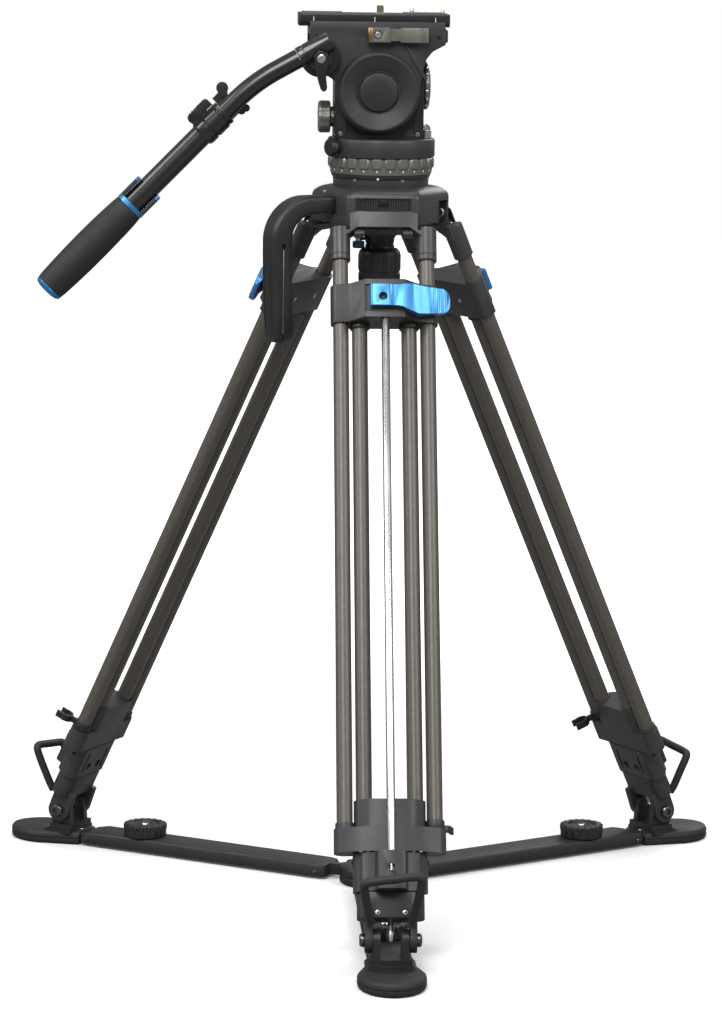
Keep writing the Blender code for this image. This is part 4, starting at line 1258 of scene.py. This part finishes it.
bodyValues = dict(
    drum=56, drumLow=779.7, drumHigh=799, halfDeep=31,
    outline=[(-50, 798), (42, 798), (42, 858), (36, 871), (30, 880), (-42, 880), (-50, 862)],
)


def makePanBase():
    v = bodyValues
    rim = [
        (0, v["drumLow"]), (54.6, v["drumLow"]), (55.6, 780.2), (v["drum"], 781.2), (v["drum"], 796.6), (55.4, 798.2),
        (54.2, 799), (0, v["drumHigh"])
    ]
    body = prism(v["outline"], -v["halfDeep"], v["halfDeep"], "y")
    bores = [rod((-6, side * 25, 848), (-6, side * 40, 848), 9.4, 32) for side in (-1, 1)]
    panels = [box((-38, low, 803), (32, high, 845)) for low, high in ((-31.5, -30.4), (30.4, 31.5))]
    setPiece("pan_base_tower", shaped("panTower", [body], bores + panels, bevel=0.9, segments=3), "black", "pan_head")
    drum = shaped("panDrum", [turned(rim, 96)], bevel=0)
    setPiece("pan_base_drum", drum, "casting", "pan_head", stands=["pan_base"])
    vial = turned([(0, 0), (5.6, 0), (6, 0.5), (6, 8), (5.4, 8.6), (0, 8.6)], 44, (45.6, -10, 799.2))
    dome = turned(
        [(0, 0), (5.2, 0), (5.1, 1.5), (4.5, 3.6), (3.3, 5.2), (1.7, 6.2), (0, 6.5)], 44, (45.6, -10, 807.6)
    )
    setPiece("level_cup", asMesh([vial]), "chrome", "pan_head")
    setPiece("level_dome", asMesh([dome]), "glass", "pan_head")
    spots = [((x, y, 799.1), up) for x, y in ((-44, 34), (36, 34), (-30, 44), (24, 44))]
    spots += [
        ((x, -31, z), forward) for x, z in ((-44, 804), (36, 804))
    ] + [((x, 31, z), backward) for x, z in ((-44, 804), (36, 804))]
    setPiece("body_screws", screwsAt(spots, 2.2), "", "pan_head")


platformValues = dict(cheekIn=33, cheekOut=40, tiltX=-6, tiltZ=848)


def makePlatform():
    v = platformValues
    left = [(-77, 914), (-77, 882), (-75.5, 878.6), (-62, 866), (-50, 858)]
    right = [(38, 860), (40.2, 871), (43.5, 882), (49, 889), (56, 893.2), (63, 897), (63, 914)]
    outline = left + arc((v["tiltX"], v["tiltZ"]), 43, 180, 360, 49) + right
    adds = [box((-77, -34, 906), (63, 34, 914))]
    for side in (-1, 1):
        inner, outer = span(side, v["cheekIn"], v["cheekOut"])
        adds.append(prism(outline, inner, outer, "y"))
        adds.append(rod((v["tiltX"], side * 26, v["tiltZ"]), (v["tiltX"], side * 35, v["tiltZ"]), 9, 40))
    rails = [box((-77, low, 912), (62, high, 919.6)) for low, high in ((-40, -34.2), (34.2, 40))]
    strut = prism([(20.5, 896.5), (23.5, 896.5), (44.6, 862), (42.4, 859.5)], -41.6, -39, "y")
    channel = box((-90, -24.5, 913), (80, 24.5, 916))
    hole = rod((52.5, -45, 890.5), (52.5, -36, 890.5), 2.4, 24)
    mesh = shaped("platform", [*adds, *rails, strut], [channel, hole], bevel=0.9, segments=3)
    setPiece("tilt_cradle", mesh, "casting", "tilt_head", stands=["tilt_platform"])
    end = shaped("stop", [box((55, -36, 899), (65.5, 36, 912))], bevel=1.2, segments=3)
    setPiece("platform_end_stop", end, "moulded", "tilt_head")
    spots = [((x, side * 40, z), (0, side, 0)) for side in (-1, 1) for x, z in ((-70, 905), (56, 905))]
    setPiece("platform_screws", screwsAt(spots, 2.0, "socket"), "", "tilt_head")


plateValues = dict(low=-88, high=68, stripStarts=(-84, 22), stripSides=(-24.4, 16), ribs=14, ribStep=2.98)


def makePlate():
    v = plateValues
    strips = [(x, y) for x in v["stripStarts"] for y in v["stripSides"]]
    section = [(-24, 914.3), (24, 914.3), (27, 918), (27, 926.3), (26, 927.5), (-26, 927.5), (-27, 926.3), (-27, 918)]
    grooves = [box((-70, y - 0.5, 926.8), (50, y + 0.5, 930)) for y in (-14.5, 14.5)]
    slot = shaped("plateSlot", [box((-46, -5, 920), (30, 5, 935))], bevel=0)
    mesh = shaped(
        "plate", [prism(section, v["low"], v["high"], "x")], [*grooves, asShape(slot)], bevel=0.8, segments=3
    )
    setPiece("quick_plate", mesh, "black", "plate", stands=["camera_plate"])
    pads = asMesh([box((x, y, 927.3), (x + 42, y + 8.4, 928.2)) for x, y in strips])
    setPiece("plate_rubber", shaped("rubberStrips", [asShape(pads)], bevel=0.3), "greyRubber", "plate")
    rows = [
        grown(
            "row", "greyRubber", Count=v["ribs"], Start=(x + 1.6, y + 4.2, 928.2), Step=(v["ribStep"], 0, 0),
            Size=(1.5, 7.6, 0.9), Sides=8
        ) for x,
        y in strips
    ]
    setPiece("plate_rubber_ribs", asMesh([asShape(row) for row in rows]), "greyRubber", "plate")
    setPiece(
        "plate_ticks", asMesh([box((x - 0.35, -27.25, 919.4), (x + 0.35, -26.8, 924.0)) for x in (-73, -10, 53)]),
        "marking", "plate"
    )
    bigScrew = turned(
        [(0, 0), (7.4, 0), (7.9, 0.5), (7.9, 3.4), (3.6, 3.8), (3.6, 10.6), (3.0, 11.4), (0, 11.4)], 48,
        (-3, 0, 924.3)
    )
    thinScrew = turned(
        [(0, 0), (6, 0), (6.4, 0.4), (6.4, 3.4), (2.3, 3.8), (2.3, 9.0), (1.8, 9.8), (0, 9.8)], 48, (30, 0, 923.2)
    )
    setPiece("camera_screws", asMesh([bigScrew, thinScrew]), "paleBrass", "plate")
    pin = turned([(0, 0), (2.2, 0), (2.2, 3), (1.6, 4.2), (0, 4.6)], 32, (62, 0, 927))
    setPiece("locating_pin", asMesh([pin]), "brass", "plate")


plateLeverValues = dict(low=899.2, high=914, grooves=6, grooveStep=2.3, grooveStart=29.6, screw=(-7.6, 906.6))


def makePlateLever():
    v = plateLeverValues
    screwX, screwZ = v["screw"]
    outline = arc((-13.2, -46.4), 5.7, 90, 270, 15) + [
        (2, -52), (5, -51.8), (6, -49.6), (16, -48.4), (20, -50.4), (24, -50.8), (29, -51.2), (43.6, -52),
        (44.6, -51.2)
    ]
    outline += [(44.6, -46.4), (43.6, -45.6), (30, -43.2), (10, -41.5)]
    spots = [v["grooveStart"] + v["grooveStep"] * index for index in range(v["grooves"])]
    grooves = [rod((x, -52.0, 890), (x, -52.0, 925), 0.8, 12) for x in spots]
    bolt = rod((screwX, -60, screwZ), (screwX, -49.6, screwZ), 4.4, 32)
    waist = [box((6, -60, low), (16, -40, high)) for low, high in ((890, 900.6), (912.8, 925))]
    mesh = shaped(
        "plateLever", [prism(outline, v["low"], v["high"])], [*grooves, bolt, *waist], bevel=0.6, segments=3
    )
    setPiece("plate_clamp_lever", mesh, "gunmetal", "plate_lock", stands=["plate_lever"])
    brass = shaped(
        "brass",
        [prism(
            arc((-13, -46.4), 6.05, 150, 268, 12) + [(-12.4, -50.5)] + arc((-13, -46.4), 4.9, 262, 150, 8),
            899.8, 913.4,
        )],
        bevel=0.2
    )
    setPiece("lever_spring_strip", brass, "brass", "plate_lock", slot="gunmetal")
    setPiece("lever_screw", screwsAt([((screwX, -50.4, screwZ), forward)], 3.7), "", "plate_lock")


coverValues = dict(tiltX=-6, tiltZ=848, front=-40.3)


def makeCovers():
    v = coverValues
    start = (v["tiltX"], v["front"], v["tiltZ"])
    profile = [
        (0, 0), (41, 0), (42, 0.8), (42, 8.2), (41.6, 10), (40.6, 12), (39.6, 13.1), (38.2, 13.4), (36.6, 13),
        (22.6, 7.6), (21.8, 7.2), (20.6, 7.2), (20.6, 6.6), (0, 6.6)
    ]
    setPiece(
        "tilt_cover_dish", asMesh([turned(profile, 96, start, forward)]), "barrel", "tilt_head",
        stands=["tilt_cover"], smooth=26
    )
    cap = [(0, 6.4), (20, 6.4), (20, 9.6), (19.2, 10.7), (17.6, 11.2), (9, 11.7), (0, 11.9)]
    setPiece("tilt_cover_cap", asMesh([turned(cap, 80, start, forward)]), "woven", "tilt_head")
    lobes = lobedOutline(40, 2, 20)
    rings = []
    for shrink, deep in ((1.2, 40.3), (0, 41.4), (0, 52.6), (1.4, 54)):
        grow = 1 - shrink / 40
        rings.append([(v["tiltX"] + x * grow, deep, v["tiltZ"] + y * grow) for x, y in lobes])
    disc = turned(
        [(0, 53.6), (30, 53.6), (29, 55), (26, 55.2), (26, 57), (25, 58), (0, 58)], 72, (v["tiltX"], 0, v["tiltZ"]),
        backward
    )
    setPiece(
        "tilt_ring_lobes", shaped("tiltRing", [loft(rings), disc], bevel=0), "gunmetal", "tilt_ring",
        stands=["tilt_drag_ring"], smooth=28
    )
    ticks = grown("ring", "marking", Count=12, Radius=27.6, Deep=2.6, Wide=0.9, Tall=0.5, Sides=12)
    setPiece(
        "tilt_ring_ticks", ticks, "", "tilt_ring", aimed((v["tiltX"], 55.2, v["tiltZ"]), backward), slot="gunmetal"
    )


knobValues = dict(
    dial=(42.3, 0, 853), studs=16, studCircle=23.6, studDepth=45.6, tiltBrake=(-50.3, 0, 820), tiltLobes=10,
    panBrakeFacing=(-0.85, -0.527, 0), panBrakeReach=56.3, panBrakeHeight=790, panFlutes=18,
)


def makeKnobs():
    v = knobValues
    dial = turned(
        [
            (0, 0), (21.4, 0), (22, 0.4), (23.6, 1.6), (24, 2.4), (24, 4.4), (23.4, 5.4), (21, 6.6), (20.2, 6),
            (14, 6), (13.4, 7.4), (12.6, 7.7), (0, 7.7)
        ],
        72, v["dial"], (1, 0, 0)
    )
    setPiece("counterbalance_wheel", asMesh([dial]), "gunmetal", "dial", stands=["counterbalance_dial"])
    studs = []
    for index in range(v["studs"]):
        angle = 2 * pi * (index + 0.5) / v["studs"]
        centre = (v["studDepth"], v["studCircle"] * cos(angle), v["dial"][2] + v["studCircle"] * sin(angle))
        facing = (0.25, cos(angle), sin(angle))
        studs.append(turned([(0, -1.6), (1.9, -1.6), (1.9, 0.2), (1.2, 1.1), (0, 1.5)], 20, centre, facing))
    setPiece("counterbalance_studs", asMesh(studs), "chrome", "dial", slot="gunmetal")
    facets = []
    for reach, deep in ((10.6, 0), (10.6, 3), (15.6, 3.4), (17, 4.6), (17, 13.8), (15.8, 15.6), (14.6, 16)):
        lobes = lobedOutline(reach, min(1.0, reach * 0.05), v["tiltLobes"], 8, 0.28)
        facets.append([(v["tiltBrake"][0] - deep, y, v["tiltBrake"][2] + z) for y, z in lobes])
    dish = turned([(0, 14.6), (9, 14.6), (11, 17), (0, 17)], 48, v["tiltBrake"], (-1, 0, 0))
    setPiece(
        "tilt_brake_wheel", shaped("tiltKnob", [loft(facets)], [dish], bevel=0), "gunmetal", "tilt_brake",
        stands=["tilt_brake_knob"], smooth=26
    )
    outward = Vector(v["panBrakeFacing"]).normalized()
    start = outward * v["panBrakeReach"] + Vector((0, 0, v["panBrakeHeight"]))
    panKnob = turned(
        [(0, 0), (5.8, 0), (6, 0.4), (6, 1.8), (8.4, 2.6), (9, 3.4), (9, 9), (8.2, 10.2), (0, 10.5)], 56, start,
        outward
    )
    setPiece("pan_brake_wheel", asMesh([panKnob]), "moulded", "pan_brake", stands=["pan_brake_knob"])
    flutes = grown("ring", "moulded", Count=v["panFlutes"], Radius=8.6, Deep=1.2, Wide=1.6, Tall=4.4, Sides=10)
    setPiece(
        "pan_brake_flutes", flutes, "", "pan_brake", aimed(start, outward) @ shifted(0, 0, 6.3), slot="black_plastic"
    )


# pan bar, in its own upright plane

barValues = dict(
    plane=-58.0, rosette=(-66.5, 883.0), knee=(-134.9, 856.8), upperSlope=29.0, lowerSlope=45.5, bend=190.0,
    upper=10.0, lower=11.6, collar=(42, 76), lowerSpan=(60, 294), grip=(176.6, 302.6),
)


def barDirection(slope):
    return Vector((-cos(radians(slope)), 0, -sin(radians(slope))))


barKnee = Vector((barValues["knee"][0], barValues["plane"], barValues["knee"][1]))
barUp = -barDirection(barValues["upperSlope"])
barDown = barDirection(barValues["lowerSlope"])
barSide = barDown.cross(Vector(backward))
barFrame = Matrix((barSide if barSide.z > 0 else -barSide, (0, 1, 0), barDown)).transposed().to_4x4()


def alongBar(distance):
    return barKnee + barDown * distance


def makeUpperBar():
    v = barValues
    halfTurn = radians(v["lowerSlope"] - v["upperSlope"]) / 2
    centre = barKnee + (barDown + barUp).normalized() * (v["bend"] / cos(halfTurn))
    path = [barKnee + barUp * reach for reach in (53, 46, 38)]
    for index in range(17):
        slope = v["upperSlope"] + (v["lowerSlope"] - v["upperSlope"]) * index / 16
        path.append(centre - barDirection(slope).cross(Vector(backward)) * v["bend"])
    path += [alongBar(distance) for distance in (60, 120, 188)]
    bar = swept(path, roundSection(v["upper"], 48), backward)
    setPiece("pan_bar_tube", asMesh([bar]), "glossBar", "bar", stands=["pan_bar_upper"])
    rosette = [(0, 0), (20, 0), (20.5, 0.5), (20.5, 6.6), (19.6, 7.7), (0, 7.7)]
    parts = [turned(rosette, 72, (v["rosette"][0], -40.3, v["rosette"][1]), forward)]
    boss = [(0, 0), (13, 0), (13, 11.6), (11.8, 13), (0, 13)]
    parts.append(turned(boss, 64, (v["rosette"][0], -47, v["rosette"][1]), forward))
    clamp = turned(
        [
            (0, 0), (10.4, 0), (11, 0.6), (11, 6), (10.5, 6.4), (10.5, 7.4), (11, 7.8), (11, 35), (10.3, 35.7),
            (0, 35.7)
        ],
        64, barKnee + barUp * 53.4, barUp
    )
    mesh = shaped("barClamp", [*parts, clamp], bevel=0.5, segments=3)
    setPiece("bar_clamp_body", mesh, "glossBar", "bar", stands=["bar_clamp"])
    teeth = grown("ring", "glossBar", Count=36, Radius=18.6, Deep=3.4, Wide=1.2, Tall=1.4, Sides=6)
    setPiece(
        "rosette_teeth", teeth, "", "bar", aimed((v["rosette"][0], -48.2, v["rosette"][1]), forward),
        slot="black_anodised"
    )
    setPiece(
        "rosette_bolt", screwsAt([((v["rosette"][0], -75.6, v["rosette"][1] - 0.5), forward)], 4.6), "", "bar_lock"
    )
    blade = arc(v["rosette"], 7.2, 0, 180, 21) + [
        (-73.6, 876), (-71.6, 868), (-69.0, 858), (-67.0, 852), (-65.2, 849.6), (-63, 849.2), (-61, 850.6),
        (-60.2, 853.6), (-61.4, 864), (-61.4, 868), (-59.6, 876)
    ]
    hub = rod((v["rosette"][0], -60.4, v["rosette"][1]), (v["rosette"][0], -70, v["rosette"][1]), 6.4, 40)
    mesh = shaped("wing", [prism(blade, -75, -69.6, "y"), hub], bevel=1.2, segments=4)
    setPiece("bar_wing", mesh, "glossBar", "bar_lock", stands=["bar_wing_lever"], slot="black_plastic")


def makeLowerBar():
    v = barValues
    start = alongBar(v["collar"][0])
    steps = [
        (10.4, 0), (12.8, 0), (13.6, 0.8), (13.6, 4), (12.9, 4.4), (12.9, 5.6), (14.2, 6.2), (14.2, 20), (13.2, 20.6),
        (13.2, 22), (14.2, 22.6)
    ]
    steps += [(14.2, 30), (13.4, 33), (12.6, 34), (11.9, 34), (11.9, 18), (10.4, 18)]
    setPiece(
        "bar_twist_collar", asMesh([turned(steps, 72, start, barDown)]), "glossBar", "bar_twist",
        stands=["bar_collar"], smooth=30, slot="black_plastic"
    )
    latch = [(9, 46), (21, 46), (23.4, 47.4), (24.2, 50), (24.2, 70), (22.6, 73.6), (19.4, 75), (9, 73)]
    cuts = [box((23.4, -20, 60.5 + 3.2 * index), (30, 20, 61.9 + 3.2 * index)) for index in range(4)]
    cuts.append(box((11, -20, 57.2), (19, -9.8, 58.2)))
    mesh = shaped("latch", [prism(latch, -10.6, 10.6, "y")], cuts, bevel=0.7, segments=3)
    setPiece(
        "bar_twist_latch", mesh, "glossBar", "bar_twist", Matrix.Translation(barKnee) @ barFrame, slot="black_plastic"
    )
    lobes = [
        rod((reach, 9.6, along), (reach, 15.2, along), radius, 36) for reach, along,
        radius in ((18.5, 27, 6.2), (13.5, 30, 4.2), (-11.5, 29, 4.6), (-13.5, 24, 3.8))
    ]
    lobes.append(box((-12, 9.8, 28), (18, 15, 42)))
    mesh = shaped("barWings", lobes, bevel=0.8, segments=3)
    setPiece("bar_twist_wings", mesh, "moulded", "bar_twist", Matrix.Translation(barKnee) @ barFrame)
    pin = rod((14, -10.4, 46.5), (14, -10.4, 53.5), 0.9, 20)
    setPiece("bar_twist_pin", asMesh([pin]), "brass", "bar_twist", Matrix.Translation(barKnee) @ barFrame)
    low, high = (alongBar(distance) for distance in v["lowerSpan"])
    tube = pipe(low, high, v["lower"], v["upper"] + 0.4, 56)
    setPiece("pan_bar_sleeve", asMesh([tube]), "glossBar", "bar_lower", stands=["pan_bar_lower"])


def makeGrip():
    v = barValues
    start = alongBar(v["grip"][0])
    length = v["grip"][1] - v["grip"][0]
    swell = [(16 + 2 * sin(pi * share / 24) ** 0.7, 6 + (length - 13) * share / 24) for share in range(1, 24)]
    profile = [
        (0, length - 8), (11.9, length - 8), (11.9, 4.4), (15.4, 4.4), (15.9, 5), *swell, (15.9, length - 6.4),
        (15.3, length - 6), (0, length - 6)
    ]
    setPiece(
        "grip_foam", asMesh([turned(profile, 72, start, barDown)]), "foam", "bar_lower", stands=["grip"], smooth=40
    )
    ring = turned(
        [(11.75, -0.8), (15.7, -0.8), (16.4, -0.1), (16.4, 3.7), (15.7, 4.4), (11.75, 4.4)], 72, start, barDown
    )
    cap = turned(
        [
            (0, length - 6), (15.6, length - 6), (15.9, length - 5.4), (15.4, length - 3), (13.6, length - 1.2),
            (10, length - 0.2), (0, length)
        ],
        72, start, barDown
    )
    setPiece("grip_ring", asMesh([ring]), "blue", "bar_lower")
    setPiece("grip_cap", asMesh([cap]), "blue", "bar_lower")
    for name, finish, low, high in (("grip_sleeve", "moulded", -21, -0.6), ("grip_sleeve_tips", "blue", -25, -20.6)):
        parts = []
        for middle in (0, 180):
            outline = arc(
                (0, 0), 16.2, middle - 34, middle + 34, 14
            ) + arc((0, 0), 14.6, middle + 34, middle - 34, 14)
            parts.append(prism(outline, low, high))
        setPiece(name, asMesh(parts), finish, "bar_lower", Matrix.Translation(start) @ barFrame)


for make in (
    makeCrown, makeHandle, makeBowlBall, makeTieDown, makeDragRing, makePanBase, makePlatform, makePlate,
    makePlateLever, makeCovers, makeKnobs, makeUpperBar, makeLowerBar, makeGrip
):
    make()
bpy.data.objects.remove(screwModel, do_unlink=True)
print("head and pan bar made")


# camera, lights and floor

viewValues = dict(place=(-0.2236, -4.0260, 1.0390), heading=0.0516, pitch=0.1547, roll=0.0143, lens=137.3)


def makeCamera():
    v = viewValues
    camera = placed("camera", bpy.data.cameras.new("camera"))
    camera.data.lens = v["lens"]
    camera.data.clip_end = 50
    aim = Matrix.Rotation(-v["heading"], 4, "Z") @ Matrix.Rotation(pi / 2 - v["pitch"], 4, "X")
    aim = aim @ Matrix.Rotation(v["roll"], 4, "Z")
    camera.matrix_world = Matrix.Translation(v["place"]) @ aim
    bpy.context.scene.camera = camera


lightValues = {
    "key": dict(place=(-0.7, -2.5, 2.9), size=1.9, energy=84),
    "left": dict(place=(-2.7, -0.7, 2.3), size=1.5, energy=40),
    "right": dict(place=(2.4, -1.8, 2.4), size=1.5, energy=44),
    "top": dict(place=(0.1, 0.4, 3.1), size=1.8, energy=30),
    "back": dict(place=(1.4, 2.6, 1.9), size=1.4, energy=22),
}


def makeLights():
    for name, v in lightValues.items():
        light = bpy.data.lights.new(name, "AREA")
        light.shape = "DISK"
        light.size = v["size"]
        light.energy = v["energy"]
        lamp = placed(name, light)
        lamp.location = v["place"]
        lamp.rotation_euler = (Vector((0, 0, 0.5)) - Vector(v["place"])).to_track_quat("-Z", "Y").to_euler()
    world = bpy.data.worlds.new("studio")
    world.use_nodes = True
    world.node_tree.nodes["Background"].inputs["Color"].default_value = (1, 1, 1, 1)
    strength = addNode(
        world.node_tree, "ShaderNodeMapRange",
        [(addNode(world.node_tree, "ShaderNodeLightPath").outputs["Is Camera Ray"], "Value")]
    )
    fill(strength, To_Min=0.32, To_Max=1.0)
    world.node_tree.links.new(strength.outputs["Result"], world.node_tree.nodes["Background"].inputs["Strength"])
    bpy.context.scene.world = world
    bpy.context.scene.view_settings.view_transform = "Standard"


floorValues = dict(half=8.0, pale=0.92, bounce=0.22, lift=0.06, whiteFrom=0.7, whiteTo=1.7)


def makeFloor():
    v = floorValues
    half = v["half"]
    mesh = bpy.data.meshes.new("floor")
    mesh.from_pydata([(-half, -half, 0), (half, -half, 0), (half, half, 0), (-half, half, 0)], [], [(0, 1, 2, 3)])
    pale, tree, shader = newMaterial("paleFloor")
    seen = addNode(tree, "ShaderNodeLightPath").outputs["Is Camera Ray"]
    tree.links.new(mixColour(tree, seen, (v["bounce"],) * 3, (v["pale"],) * 3), shader.inputs["Base Color"])
    spot = addNode(tree, "ShaderNodeTexCoord").outputs["Object"]
    reach = addNode(tree, "ShaderNodeVectorMath", [(spot, 0)], operation="LENGTH")
    white = addNode(tree, "ShaderNodeMapRange", [(reach.outputs["Value"], "Value")], interpolation_type="SMOOTHSTEP")
    fill(white, From_Min=v["whiteFrom"], From_Max=v["whiteTo"], To_Min=v["lift"])
    shown = maths(tree, "MULTIPLY", white.outputs["Result"], seen)
    tree.links.new(shown.outputs[0], shader.inputs["Emission Strength"])
    fill(shader, Emission_Color=(1, 1, 1, 1), Roughness=0.7)
    mesh.materials.append(pale)
    placed("floor", mesh)


makeCamera()
makeLights()
makeFloor()
